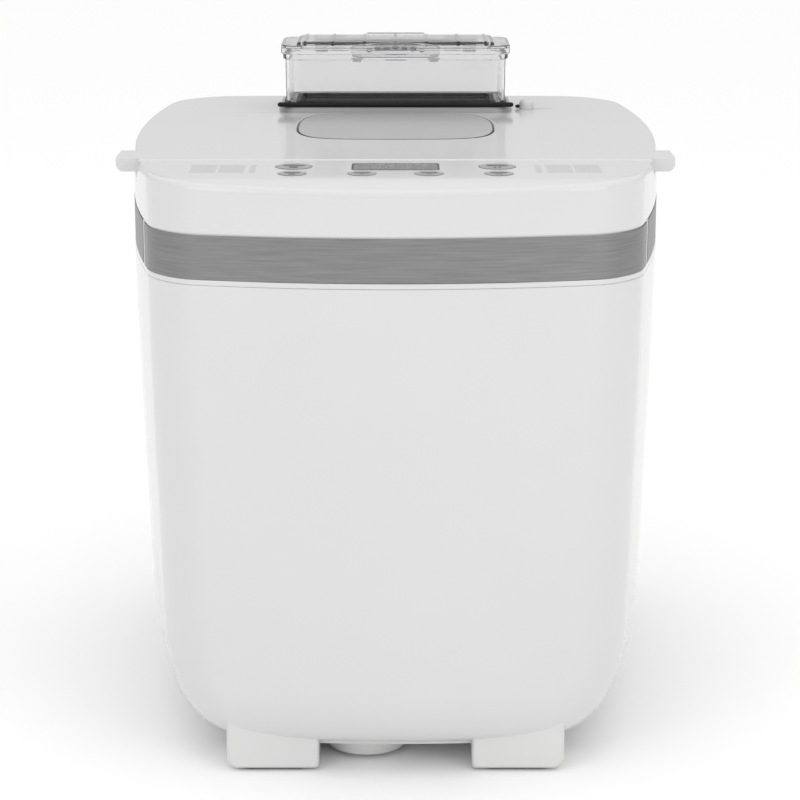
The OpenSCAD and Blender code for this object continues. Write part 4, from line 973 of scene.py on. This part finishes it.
# ---- Dispenser flap ----
# A dark floor plate on its own pivot closes the box from below and drops the fruit and nuts when the
# solenoid pulls.
flap_black = plastic("flap_black", (0.008, 0.008, 0.008), 0.55, shine=0.12)
FLAP_Y, FLAP_Z = HOPPER_Y + 20.5, COLLAR_Z - 1.5
flap_leaf = plate("flap_leaf", [round_box(117.0, 41.0, 3.0, 0, HOPPER_Y + 0.2)], FLAP_Z - 0.85, FLAP_Z + 1.05,
                  0.4, flap_black)
flap_lip = plate("flap_lip", [round_box(110.0, 36.0, 3.0, 0, HOPPER_Y),
                              round_box(106.0, 32.0, 2.0, 0, HOPPER_Y)],
                 FLAP_Z + 0.9, FLAP_Z + 1.45, 0.1, flap_black)
flap_pin = pin_round("flap_pin", -62.5, 62.5, FLAP_Y, FLAP_Z, ((0, 0.9), (0.01, 1.2), (0.99, 1.2), (1, 0.9)),
                     flap_black, 24)
for piece in (flap_leaf, flap_lip, flap_pin):
    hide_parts("hopper_flap")
    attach(piece, "flap")


# ---- Dispenser catch ----
# A small light slider with a dark nose, in a slot beside the dispenser, locks it in its collar.
catch_grey = plastic("catch_grey", (0.62, 0.62, 0.62), 0.35)
catch_knob = spun("catch_knob", [(3.9, 299.4), (3.9, 301.7), (2.1, 301.8), (2.1, 305.07), (4.2, 305.07),
                                 (4.2, 307.6), (4.0, 308.8), (3.5, 309.6),
                                 (2.8, 310.0), (1.6, 310.2), (0.05, 310.22)], CATCH_X, CATCH_Y, catch_grey)
catch_nose = pin_round("catch_nose", CATCH_X - 6.6, CATCH_X - 3.6, CATCH_Y, 306.4,
                       ((0, 0.3), (0.12, 0.7), (0.4, 1.0), (1, 1.0)), seal_black, 20)
for piece in (catch_knob, catch_nose):
    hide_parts("dispenser_catch")
    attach(piece, "catch")
# A flat grey strip stands for the slot beside the catch; its grey is painted shade in the slot.
catch_slot = plate("catch_slot_mark", [round_box(8.0, 1.1, 0.5, CATCH_X + 11.2, CATCH_Y, 4)], DECK_Z - 0.3,
                   DECK_Z + 0.02, 0.0, collar_grey)
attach(catch_slot, "lid")


# ---- Hinge pins ----
# Plain steel pins with chamfered ends, one through each pair of frame lugs and the lid knuckle between them.
turned_steel = brushed("turned_steel", (0.55, 0.55, 0.56), 0.25, (1.0, 0.2, 0.2), 900.0)
for side, label in SIDES:
    pin = pin_round("hinge_pin_" + label, side * HINGE_X - 16, side * HINGE_X + 16, HINGE_Y, HINGE_Z,
                    ((0, 0.4), (0, 1.9), (0.02, 2.45), (0.98, 2.45), (1, 1.9), (1, 0.4)), turned_steel, 32)
    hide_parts("hinge_pins")
    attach(pin, "body")
lid_pin = pin_round("dispenser_hinge_pin", -48, 48, PIN_Y, PIN_Z,
                    ((0, 0.3), (0, 0.9), (0.005, 1.15), (0.995, 1.15), (1, 0.9), (1, 0.3)), turned_steel, 24)
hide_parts("hopper_lid_pin")
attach(lid_pin, "lid")


# ---- Lid liner, its window and the lid seal ----
# A pressed aluminium pan under the lid with openings for the window and the chute, sealed to the well in
# grey silicone.
sheet_bright = brushed("aluminised_sheet", (0.62, 0.62, 0.62), 0.34, (0.06, 1.0, 1.0), 500.0)
LINER_W, LINER_L, LINER_Y = WELL_W - 9, WELL_L - 9, WELL_Y + 0.5
LINER_Z, LINER_TOP = DECK_Z - 32.0, DECK_Z - 3.0
liner_pieces = [ring_stack("liner_wall", box_rings(grown(LINER_W, LINER_L, [
    (0, 12, LINER_TOP - 0.1), (0, 12, LINER_Z + 3.0), (-0.5, 11.7, LINER_Z + 1.5),
    (-1.8, 11.1, LINER_Z + 0.4),
    (-3.6, 10.2, LINER_Z), (-3.6, 10.2, LINER_Z + 1.15), (-2.4, 10.8, LINER_Z + 3.0),
    (-2.4, 10.8, LINER_TOP - 0.1)]), LINER_Y), sheet_bright)]
liner_pieces.append(plate("liner_floor", [round_box(LINER_W - 3.6, LINER_L - 3.6, 10.2, 0, LINER_Y),
                                          round_box(WINDOW[0] - 8, WINDOW[1] - 8, 9, 0, WINDOW[2]),
                                          round_box(*CHUTE)], LINER_Z, LINER_Z + 1.15, 0.0, sheet_bright))


def tube_wall(name, w, l, r, cy, z0, z1, thick, material):
    """A thin straight wall round a rounded rectangle, with small turned edges."""
    return ring_stack(name, box_rings([
        (w, l, r, z0 + 0.3), (w, l, r, z1 - 0.3), (w - 0.5, l - 0.5, r - 0.25, z1),
        (w - 2 * thick + 0.4, l - 2 * thick + 0.4, r - thick + 0.2, z1),
        (w - 2 * thick, l - 2 * thick, r - thick, z1 - 0.3),
        (w - 2 * thick, l - 2 * thick, r - thick, z0 + 0.3),
        (w - 2 * thick + 0.4, l - 2 * thick + 0.4, r - thick + 0.2, z0), (w - 0.5, l - 0.5, r - 0.25, z0)],
        cy), material)


liner_pieces.append(tube_wall("liner_window_frame", WINDOW[0], WINDOW[1], 11.0, WINDOW[2], LINER_Z + 1.0,
                              LINER_TOP - 0.1, 1.2, sheet_bright))
liner_pieces.append(tube_wall("liner_chute", 122.4, 48.4, 5.2, HOPPER_Y, LINER_Z, LINER_TOP - 0.1, 1.2,
                              sheet_bright))
liner_pieces.append(ring_stack("liner_bead", box_rings(grown(CHAMBER_W, CHAMBER_L, [
    (-8, 16, LINER_Z), (-9, 15.5, LINER_Z - 0.5), (-11, 14.5, LINER_Z - 0.8), (-13, 13.5, LINER_Z - 0.5),
    (-14, 13, LINER_Z), (-11, 14.5, LINER_Z + 0.5)]), OVEN_Y), sheet_bright))
for piece in liner_pieces:
    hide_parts("lid_liner")
    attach(piece, "lid")

inner_glass = clear("inner_window_glass", (0.93, 0.95, 0.95), 0.02, 1.5, waves=0.01)
lower_pane = plate("lower_window_pane", [round_box(WINDOW[0] - 2.6, WINDOW[1] - 2.6, 9.7, 0, WINDOW[2])],
                   LINER_Z + 1.2, LINER_Z + 3.2, 0.4, inner_glass)
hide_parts("liner_window")
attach(lower_pane, "lid")

seal_grey = plastic("seal_grey", (0.16, 0.16, 0.165), 0.5, grain=1500.0, depth=0.05)
SEAL_LOW = WELL_Z + 3.0
lid_seal = ring_stack("lid_seal_ring", box_rings(grown(CHAMBER_W + 18, CHAMBER_L + 18, [
    (0, 29, LINER_Z), (0, 29, LINER_Z - 0.8), (-1.4, 28.3, SEAL_LOW + 0.8), (-4.0, 27, SEAL_LOW + 0.15),
    (-6.0, 26, SEAL_LOW + 0.02), (-8.0, 25, SEAL_LOW + 0.15), (-10.6, 23.7, SEAL_LOW + 0.8),
    (-12, 23, LINER_Z - 0.8), (-12, 23, LINER_Z)]), OVEN_Y), seal_grey)
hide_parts("lid_seal")
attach(lid_seal, "lid")


# ---- Oven chamber and heating element ----
# A drawn box of aluminised sheet with a flange round its top; a dark sheathed element loops round it on
# four clips.
OVEN_FLOOR = 59.0
inner_levels = grown(CHAMBER_W, CHAMBER_L, [
    (0, 20, WELL_Z - 1.2), (7.6, 23.8, WELL_Z - 1.0), (8, 24, WELL_Z - 0.8), (8, 24, WELL_Z - 0.2),
    (7.6, 23.8, WELL_Z), (0, 20, WELL_Z), (-1.4, 19.3, WELL_Z - 0.4), (-2, 19, WELL_Z - 1.6),
    (-2, 19, OVEN_FLOOR + 9), (-3, 18.5, OVEN_FLOOR + 5), (-6, 17, OVEN_FLOOR + 2.4),
    (-12, 14, OVEN_FLOOR + 1.2), (-18, 12, OVEN_FLOOR + 1.0)])
hole_levels = [(28, 28, 14, OVEN_FLOOR + 1.0), (28, 28, 14, OVEN_FLOOR)]
outer_levels = grown(CHAMBER_W, CHAMBER_L, [
    (-18, 12, OVEN_FLOOR), (-9, 15.5, OVEN_FLOOR + 0.4), (-3, 18.5, OVEN_FLOOR + 2.6),
    (-0.6, 19.7, OVEN_FLOOR + 6), (0, 20, OVEN_FLOOR + 10)])
chamber = ring_stack("oven_chamber_drawn", box_rings(inner_levels + hole_levels + outer_levels, OVEN_Y),
                     sheet_bright)
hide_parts("oven_chamber")
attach(chamber, "body")


def tube(name, points, radius, material, smooth=6):
    """A round tube with closed ends along a line of points."""
    curve = bpy.data.curves.new(name, "CURVE")
    curve.dimensions = "3D"
    curve.bevel_depth = radius / 1000
    curve.bevel_resolution = smooth
    curve.use_fill_caps = True
    spline = curve.splines.new("POLY")
    spline.points.add(len(points) - 1)
    for point, (x, y, z) in zip(spline.points, points):
        point.co = (x / 1000, y / 1000, z / 1000, 1.0)
    blank = bpy.data.objects.new(name, curve)
    bpy.context.scene.collection.objects.link(blank)
    piece = settle(blank)
    shape = bmesh.new()
    shape.from_mesh(piece.data)
    bmesh.ops.remove_doubles(shape, verts=shape.verts, dist=1e-6)
    bmesh.ops.recalc_face_normals(shape, faces=shape.faces)
    shape.to_mesh(piece.data)
    shape.free()
    piece.data.shade_smooth()
    piece.data.set_sharp_from_angle(angle=math.radians(40))
    piece.data.materials.clear()
    piece.data.materials.append(material)
    return piece


def fillet(points, radius, steps=8):
    """Rounds the inner corners of a line of points."""
    out = [points[0]]
    for a, p, b in zip(points, points[1:], points[2:]):
        u = [(i - j) for i, j in zip(a, p)]
        v = [(i - j) for i, j in zip(b, p)]
        lu, lv = math.sqrt(sum(c * c for c in u)), math.sqrt(sum(c * c for c in v))
        r = min(radius, lu / 2, lv / 2)
        for k in range(steps + 1):
            t = k / steps
            out.append(tuple((1 - t) ** 2 * (q + c / lu * r) + 2 * t * (1 - t) * q + t * t * (q + d / lv * r)
                             for q, c, d in zip(p, u, v)))
    return out + [points[-1]]


element_dark = plastic("element_sheath", (0.045, 0.045, 0.05), 0.45, grain=400.0, depth=0.06, mottle=0.25,
                       metal=0.6)
HX, HY, HZ = 78.0, 94.0, OVEN_FLOOR + 20.0
element_line = [(12, OVEN_Y - CHAMBER_L / 2 - 12, HZ), (12, OVEN_Y - HY, HZ), (HX, OVEN_Y - HY, HZ),
                (HX, OVEN_Y + HY, HZ),
                (-HX, OVEN_Y + HY, HZ), (-HX, OVEN_Y - HY, HZ), (-12, OVEN_Y - HY, HZ),
                (-12, OVEN_Y - CHAMBER_L / 2 - 12, HZ)]
loop_line = fillet(element_line[:2] + element_line[2:3], 6, 4)[:-1] + fillet(element_line[1:7], 26,
        12)[1:-1] \
    + fillet(element_line[5:], 6, 4)[1:]
element = tube("heating_element_loop", loop_line, 3.5, element_dark)
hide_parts("heating_element")
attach(element, "body")


# ---- Bread pan, handle, rivets and paddle ----
# A drawn pan with a rolled rim and a dark non-stick coat; its wire handle swings on two rivets in the end
# walls.
pan_coat = plastic("non_stick_coat", (0.038, 0.038, 0.042), 0.38, grain=1100.0, depth=0.16, mottle=0.35,
                   metal=0.3)
PAN_W, PAN_L, PAN_Z, PAN_RIM = 132.0, 176.0, OVEN_FLOOR + 26.0, OVEN_FLOOR + 174.0
pan_levels = [(24, 24, 12, PAN_Z)] + grown(PAN_W, PAN_L, [
    (-18, 14, PAN_Z), (-11, 17, PAN_Z + 0.8), (-6, 19.4, PAN_Z + 3.2), (-3.8, 20.6, PAN_Z + 7),
    (-3, 21, PAN_Z + 12), (-0.6, 21.8, PAN_RIM - 5), (0, 22, PAN_RIM - 3.4), (2, 23, PAN_RIM - 3.2),
    (4.8, 24.4, PAN_RIM - 2.7), (6, 25, PAN_RIM - 1.6), (4.8, 24.4, PAN_RIM - 0.5), (2, 23, PAN_RIM),
    (-0.6, 21.7, PAN_RIM - 0.3), (-2.4, 20.8, PAN_RIM - 1.5), (-3.2, 20.4, PAN_RIM - 4),
    (-6, 19.5, PAN_Z + 12.5), (-7, 19, PAN_Z + 7.5), (-9.4, 17.8, PAN_Z + 4.2), (-14, 15.5, PAN_Z + 2.2),
    (-21, 12.5, PAN_Z + 1.5)]) + [(24, 24, 12, PAN_Z + 1.5)]
pan_shell = ring_stack("bread_pan_shell", box_rings(pan_levels, OVEN_Y), pan_coat)
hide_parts("bread_pan")
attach(pan_shell, "pan")


def spun_level(name, levels, x, z, material, steps=40, closed=False):
    """A turned piece about a level axis from front to back: levels are (radius, y)."""
    rings = [[(x + r * math.cos(2 * math.pi * i / steps), y, z + r * math.sin(2 * math.pi * i / steps))
              for i in range(steps)]
             for r, y in levels]
    return ring_stack(name, rings, material, closed=closed, caps=not closed)


HANDLE_Z, ARM_Y, ARM_X = PAN_RIM - 12.0, PAN_L / 2 + 6.4, PAN_W / 2 + 10.0
bail = tube("pan_handle_bail", fillet([(3.6, OVEN_Y - ARM_Y, HANDLE_Z), (ARM_X, OVEN_Y - ARM_Y, HANDLE_Z),
                                       (ARM_X, OVEN_Y + ARM_Y, HANDLE_Z),
                                       (3.6, OVEN_Y + ARM_Y, HANDLE_Z)], 7.0), 2.5, turned_steel)
grip_rings = []
for i in range(25):
    share = i / 24
    y = OVEN_Y - 38.0 + 76.0 * share
    r = 4.3 * (1 - 0.28 * abs(2 * share - 1) ** 6) - 0.25 * (0.5 + 0.5 * math.cos(2 * math.pi * share * 8))
    grip_rings.append((max(2.6, r), y))
grip = spun_level("pan_handle_grip", [(2.45, OVEN_Y - 38.0)] + grip_rings + [(2.45, OVEN_Y + 38.0)], ARM_X,
                  HANDLE_Z, turned_steel)
handle_pieces = [bail, grip]
for side in (-1, 1):
    label = "front" if side < 0 else "rear"
    y = OVEN_Y + side * ARM_Y
    handle_pieces.append(spun_level("pan_handle_eye_" + label,
                                    [(2.1, y - 2.4), (4.4, y - 2.4), (4.9, y - 1.9), (4.9, y + 1.9),
                                     (4.4, y + 2.4),
                                                                (2.1, y + 2.4)], 0, HANDLE_Z, turned_steel,
                                                                closed=True))
for piece in handle_pieces:
    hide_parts("pan_handle")
    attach(piece, "handle")
for side in (-1, 1):
    at = lambda y: OVEN_Y + side * y
    rivet = spun_level("handle_rivet_" + ("front" if side < 0 else "rear"), [
        (0.4, at(PAN_L / 2 - 3.6)), (2.6, at(PAN_L / 2 - 3.4)), (3.9, at(PAN_L / 2 - 2.6)),
        (3.9, at(PAN_L / 2 - 2.2)), (1.95, at(PAN_L / 2 - 2.2)),
        (1.95, at(ARM_Y + 2.75)), (3.9, at(ARM_Y + 2.75)), (3.7, at(ARM_Y + 3.4)), (2.4, at(ARM_Y + 3.85)),
        (0.4, at(ARM_Y + 3.9))], 0, HANDLE_Z, turned_steel)
    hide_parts("handle_rivets")
    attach(rivet, "pan")

PADDLE_Z = PAN_Z + 3.6
hub = spun("paddle_hub", [(4.05, PADDLE_Z), (8.2, PADDLE_Z), (9.0, PADDLE_Z + 0.8), (8.6, PADDLE_Z + 21),
                          (7.6, PADDLE_Z + 23.4),
                          (6.4, PADDLE_Z + 24), (4.05, PADDLE_Z + 24)], 0, OVEN_Y, pan_coat, closed=True)
fin = plate("paddle_fin", [fillet([(5, 1), (46, 1), (48, 5), (44, 16), (26, 34), (12, 38), (5, 30), (5, 2)],
                                  3.0, 6)], -2.0, 2.0, 1.2, pan_coat)
heel = plate("paddle_heel", [round_box(14.0, 11.0, 2.5, -13.0, 6.5)], -3.0, 3.0, 1.2, pan_coat)
for piece in (fin, heel):
    for v in piece.data.vertices:
        x, y, z = v.co
        v.co = (x, OVEN_Y / 1000 - z, y + PADDLE_Z / 1000)
for piece in (hub, fin, heel):
    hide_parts("kneading_paddle")
    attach(piece, "paddle")


# ---- Base plate, motor cover, feet and pads ----
# A flat light grey base with vent slots is screwed up into the tub; four hollow feet stand on soft black
# pads. The upper edges of the front feet follow the tub's skin, so that they run on into it.
base_grey = plastic("satin_base_grey", (0.64, 0.64, 0.635), 0.42, grain=1300.0, depth=0.05, mottle=0.02)
FOOT_H, PAD_H, FOOT_X = 13.0, 1.5, 62.0
FOOT_YS = (FRONT_Y + 31.0, REAR_Y - 42.0)
MOTOR_X, MOTOR_Y, COVER_R = -15.0, FRONT_Y + 50.0, 23.8
base_loops = [body_outline(41.8, 19.47), circle(COVER_R - 5, MOTOR_X, MOTOR_Y)]
base_loops += [circle(2.2, x, y, 24) for x in (-FOOT_X, FOOT_X) for y in FOOT_YS]
base_plate = plate("base_plate_moulding", base_loops, FOOT_H, SHELL_Z, 0.0, base_grey)
cut_from(base_plate, slot_rows("base_vent_cuts", (2, 68.0), 5, 9.0, 34.0, 6.0, 4.0,
                               (-34.0, OVEN_Y + 40, FOOT_H + 1.25), "Y"))
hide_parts("base_plate")
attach(base_plate, "body")

cover_low = FOOT_H - 10.6
cover = spun("motor_cover_dome", [
    (COVER_R - 5, FOOT_H), (COVER_R, FOOT_H), (COVER_R, FOOT_H - 2.6), (COVER_R - 0.5, FOOT_H - 3.8),
    (COVER_R - 3.4, cover_low + 0.5),
    (COVER_R - 5, cover_low + 0.1), (COVER_R - 9, cover_low), (5.2, cover_low), (4.8, cover_low + 0.4),
    (0.05, cover_low + 0.4), (0.05, cover_low + 1.6),
    (COVER_R - 6.5, cover_low + 1.6), (COVER_R - 5.2, cover_low + 2.4), (COVER_R - 5, cover_low + 3.4)],
    MOTOR_X, MOTOR_Y, base_grey, closed=True)
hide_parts("motor_cover")
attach(cover, "body")


def tub_under(x, y):
    """The height at which the tub's front skin passes over a point of the floor plan."""
    for z in low_turn:
        if min((abs(px - x), py) for px, py, height in tub_loop(z, 0.6) if py < 0)[1] < y:
            return max(FOOT_H, z)
    return FOOT_H


pad_black = plastic("pad_rubber", (0.03, 0.03, 0.03), 0.6, grain=1200.0, depth=0.2)
FOOT_L = 34.0
for end, y in zip(("front", "rear"), FOOT_YS):
    for side, hand in SIDES:
        label = end + "_" + hand
        x0, x1, r = 39.0, 86.0, 5.5
        edge = [(x0, FOOT_H)] + [(x0 + 46.6 * i / 6, FOOT_H) for i in range(1, 7)] + [(x1, FOOT_H - 0.6)]
        edge += [(x1 - r + r * math.cos(math.radians(a)), PAD_H + r + r * math.sin(math.radians(a)))
                 for a in range(0, -91, -10)]
        edge += [(x0 + 2.0, PAD_H), (x0 + 0.6, PAD_H + 0.5), (x0, PAD_H + 2.0)]
        rings = []
        for at, pinch in ((0, 1.6), (0.5, 0.75), (1.6, 0.0), (2.6, 0.0), (3.6, 0.0), (4.6, 0.0), (5.6, 0.0),
                          (7.0, 0.0), (9.0, 0.0),
                          (32.4, 0.0), (33.5, 0.75), (34.0, 1.6)):
            ring = []
            for x, z in edge:
                low = max(PAD_H, z + pinch * (FOOT_H - z) / (FOOT_H - PAD_H))
                high = z if end == "rear" or at > 10 else tub_under(x, y - FOOT_L / 2 + at) + z - FOOT_H
                ring.append((side * (x0 + (x - x0) * (1 - 2 * pinch / (x1 - x0)) + pinch),
                             y - FOOT_L / 2 + at, high if z > FOOT_H - 1 else low))
            rings.append(ring)
        foot = ring_stack("foot_" + label, rings, base_grey, closed=False, caps=True)
        cut_from(foot, spun("bore_" + label, [(4.0, 0.0), (4.0, PAD_H + 4.0), (2.2, PAD_H + 4.0),
                                              (2.2, FOOT_H + 1)], side * FOOT_X, y, base_grey, 32))
        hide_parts(end + "_feet")
        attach(foot, "body")
        foot_pad = plate("foot_pad_" + label, [round_box(34.0, 26.0, 4.0, side * FOOT_X, y),
                                               circle(4.4, side * FOOT_X, y, 32)],
                         0.0, PAD_H, 0.45, pad_black)
        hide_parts("foot_pads")
        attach(foot_pad, "body")


# ---- Base screws ----
# Four zinc-plated cross-head screws, sunk in the feet, hold feet and base to the chassis.
def copies(name, part, spots, material):
    """One part set at each of the given places by instancing, then made one plain mesh."""
    tree = bpy.data.node_groups.new(name, "GeometryNodeTree")
    face = tree.interface
    face.new_socket("Spots", in_out="INPUT", socket_type="NodeSocketGeometry")
    face.new_socket("Part", in_out="INPUT", socket_type="NodeSocketObject")
    face.new_socket("Finish", in_out="INPUT", socket_type="NodeSocketMaterial")
    face.new_socket("Geometry", in_out="OUTPUT", socket_type="NodeSocketGeometry")
    enter, leave = tree.nodes.new("NodeGroupInput"), tree.nodes.new("NodeGroupOutput")
    shape, put = tree.nodes.new("GeometryNodeObjectInfo"), tree.nodes.new("GeometryNodeInstanceOnPoints")
    real, paint = tree.nodes.new("GeometryNodeRealizeInstances"), tree.nodes.new("GeometryNodeSetMaterial")
    link = tree.links.new
    link(enter.outputs["Part"], shape.inputs["Object"])
    link(enter.outputs["Spots"], put.inputs["Points"])
    link(shape.outputs["Geometry"], put.inputs["Instance"])
    link(put.outputs["Instances"], real.inputs["Geometry"])
    link(real.outputs["Geometry"], paint.inputs["Geometry"])
    link(enter.outputs["Finish"], paint.inputs["Material"])
    link(paint.outputs["Geometry"], leave.inputs["Geometry"])
    mesh = bpy.data.meshes.new(name)
    mesh.from_pydata([(x / 1000, y / 1000, z / 1000) for x, y, z in spots], [], [])
    holder = bpy.data.objects.new(name, mesh)
    bpy.context.scene.collection.objects.link(holder)
    grower = holder.modifiers.new("copies", "NODES")
    grower.node_group = tree
    keys = {item.name: item.identifier for item in face.items_tree if item.in_out == "INPUT"}
    grower[keys["Part"]], grower[keys["Finish"]] = part, material
    settle(holder)
    bpy.data.objects.remove(part)
    holder.data.shade_smooth()
    holder.data.set_sharp_from_angle(angle=math.radians(35))
    return holder


zinc = brushed("zinc_plate", (0.50, 0.50, 0.50), 0.32, (1.0, 1.0, 0.3), 700.0)
screw = spun("screw_shape", [(0.3, 3.1), (2.6, 3.1), (3.4, 3.4), (3.75, 4.1), (3.75, 5.5), (2.15, 5.5),
                             (2.15, 20.4), (1.2, 21.4), (0.2, 21.45)], 0, 0, zinc, 32)
for w, l in ((4.0, 0.9), (0.9, 4.0)):
    cut_from(screw, plate("screw_drive", [round_box(w, l, 0.15, 0, 0, 3)], 2.5, 4.6, 0.0, zinc))
base_screws = copies("base_screw_set", screw, [(x, y, 0.0) for x in (-FOOT_X, FOOT_X) for y in FOOT_YS], zinc)
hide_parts("base_screws")
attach(base_screws, "body")


# ---- Cord gland ----
# A black nylon bush through the rear wall with a ribbed throat; the mains cord itself is a separate part.
nylon = plastic("black_nylon", (0.02, 0.02, 0.02), 0.4, grain=1000.0, depth=0.05)
GLAND_X, GLAND_Z, GLAND_Y = -60.0, 51.0, REAR_Y - 3.0
gland = spun_level("cord_gland_bush", [
    (3.6, GLAND_Y - 8), (8.2, GLAND_Y - 8), (8.5, GLAND_Y - 7.7), (8.5, GLAND_Y - 5.8), (7.0, GLAND_Y - 5.5),
    (6.9, GLAND_Y + 0.6), (9.2, GLAND_Y + 0.6),
    (9.5, GLAND_Y + 0.9), (9.5, GLAND_Y + 2.6), (9.0, GLAND_Y + 3.1), (7.0, GLAND_Y + 3.2),
    (6.8, GLAND_Y + 4.5), (6.3, GLAND_Y + 5.0), (4.1, GLAND_Y + 5.0),
    (3.6, GLAND_Y + 4.5), (3.6, GLAND_Y + 3.0), (3.9, GLAND_Y + 2.4), (3.6, GLAND_Y + 1.8)], GLAND_X, GLAND_Z,
    nylon, closed=True)
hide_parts("cord_gland")
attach(gland, "body")


# ---- Works inside the body ----
# Motor, pulleys, belt, boards, brackets and bearings keep their machined shapes and get their own finishes.
def stranded(name, colour, rough, along, scale, colour_two):
    """Two tones in fine lines, for windings, board tracks and belt ribs."""
    material = bpy.data.materials.new(name)
    material.use_nodes = True
    tree = material.node_tree
    shader = tree.nodes["Principled BSDF"]
    place, turn = tree.nodes.new("ShaderNodeTexCoord"), tree.nodes.new("ShaderNodeMapping")
    turn.inputs["Scale"].default_value = along
    lines, tint = tree.nodes.new("ShaderNodeTexWave"), tree.nodes.new("ShaderNodeValToRGB")
    lines.inputs["Scale"].default_value = scale
    lines.inputs["Distortion"].default_value = 1.5
    tint.color_ramp.elements[0].position, tint.color_ramp.elements[1].position = 0.4, 0.6
    tint.color_ramp.elements[0].color, tint.color_ramp.elements[1].color = (*colour, 1.0), (*colour_two, 1.0)
    gloss, bump = tree.nodes.new("ShaderNodeMapRange"), tree.nodes.new("ShaderNodeBump")
    gloss.inputs["To Min"].default_value, gloss.inputs["To Max"].default_value = rough * 0.8, rough * 1.2
    bump.inputs["Strength"].default_value, bump.inputs["Distance"].default_value = 0.2, 0.0003
    link = tree.links.new
    link(place.outputs["Object"], turn.inputs["Vector"])
    link(turn.outputs["Vector"], lines.inputs["Vector"])
    link(lines.outputs["Fac"], tint.inputs["Fac"])
    link(tint.outputs["Color"], shader.inputs["Base Color"])
    link(lines.outputs["Fac"], gloss.inputs["Value"])
    link(gloss.outputs["Result"], shader.inputs["Roughness"])
    link(lines.outputs["Fac"], bump.inputs["Height"])
    link(bump.outputs["Normal"], shader.inputs["Normal"])
    return material


cast_metal = plastic("cast_alloy", (0.42, 0.42, 0.42), 0.42, grain=900.0, depth=0.2, mottle=0.1, metal=1.0)
bronze = plastic("sintered_bronze", (0.42, 0.27, 0.10), 0.38, grain=1600.0, depth=0.15, mottle=0.15,
                 metal=1.0)
motor_paint = plastic("motor_can", (0.22, 0.22, 0.225), 0.38, grain=600.0, depth=0.08, mottle=0.08, metal=0.8)
board_green = stranded("circuit_board", (0.02, 0.12, 0.05), 0.35, (1.0, 0.3, 1.0), 120.0, (0.03, 0.17, 0.07))
belt_black = stranded("ribbed_belt", (0.012, 0.012, 0.012), 0.6, (0.0, 0.0, 1.0), 250.0,
                      (0.025, 0.025, 0.025))
switch_black = plastic("switch_black", (0.02, 0.02, 0.02), 0.35)
module_dark = plastic("display_module_dark", (0.05, 0.06, 0.055), 0.3)
pulley_dark = plastic("pulley_plastic", (0.05, 0.05, 0.052), 0.4, grain=700.0, depth=0.05)
FINISHES = {
    "display_module": module_dark, "control_board": board_green, "power_board": board_green,
    "key_switches": switch_black,
    "heater_clips": sheet_bright, "temperature_probe": turned_steel, "pan_socket": cast_metal,
    "pan_base": cast_metal,
    "drive_coupling": cast_metal, "motor_pulley": cast_metal, "chassis_plate": sheet_bright,
    "chassis_posts": zinc,
    "motor": motor_paint, "large_pulley": pulley_dark, "drive_belt": belt_black, "drive_shaft": turned_steel,
    "pan_shaft": turned_steel, "shaft_bearing": bronze, "pan_bearing": bronze, "flap_solenoid": motor_paint,
    "solenoid_plunger": turned_steel,
}
for node, finish in FINISHES.items():
    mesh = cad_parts[node].data
    if mesh.materials:
        for i in range(len(mesh.materials)):
            mesh.materials[i] = finish
    else:
        mesh.materials.append(finish)
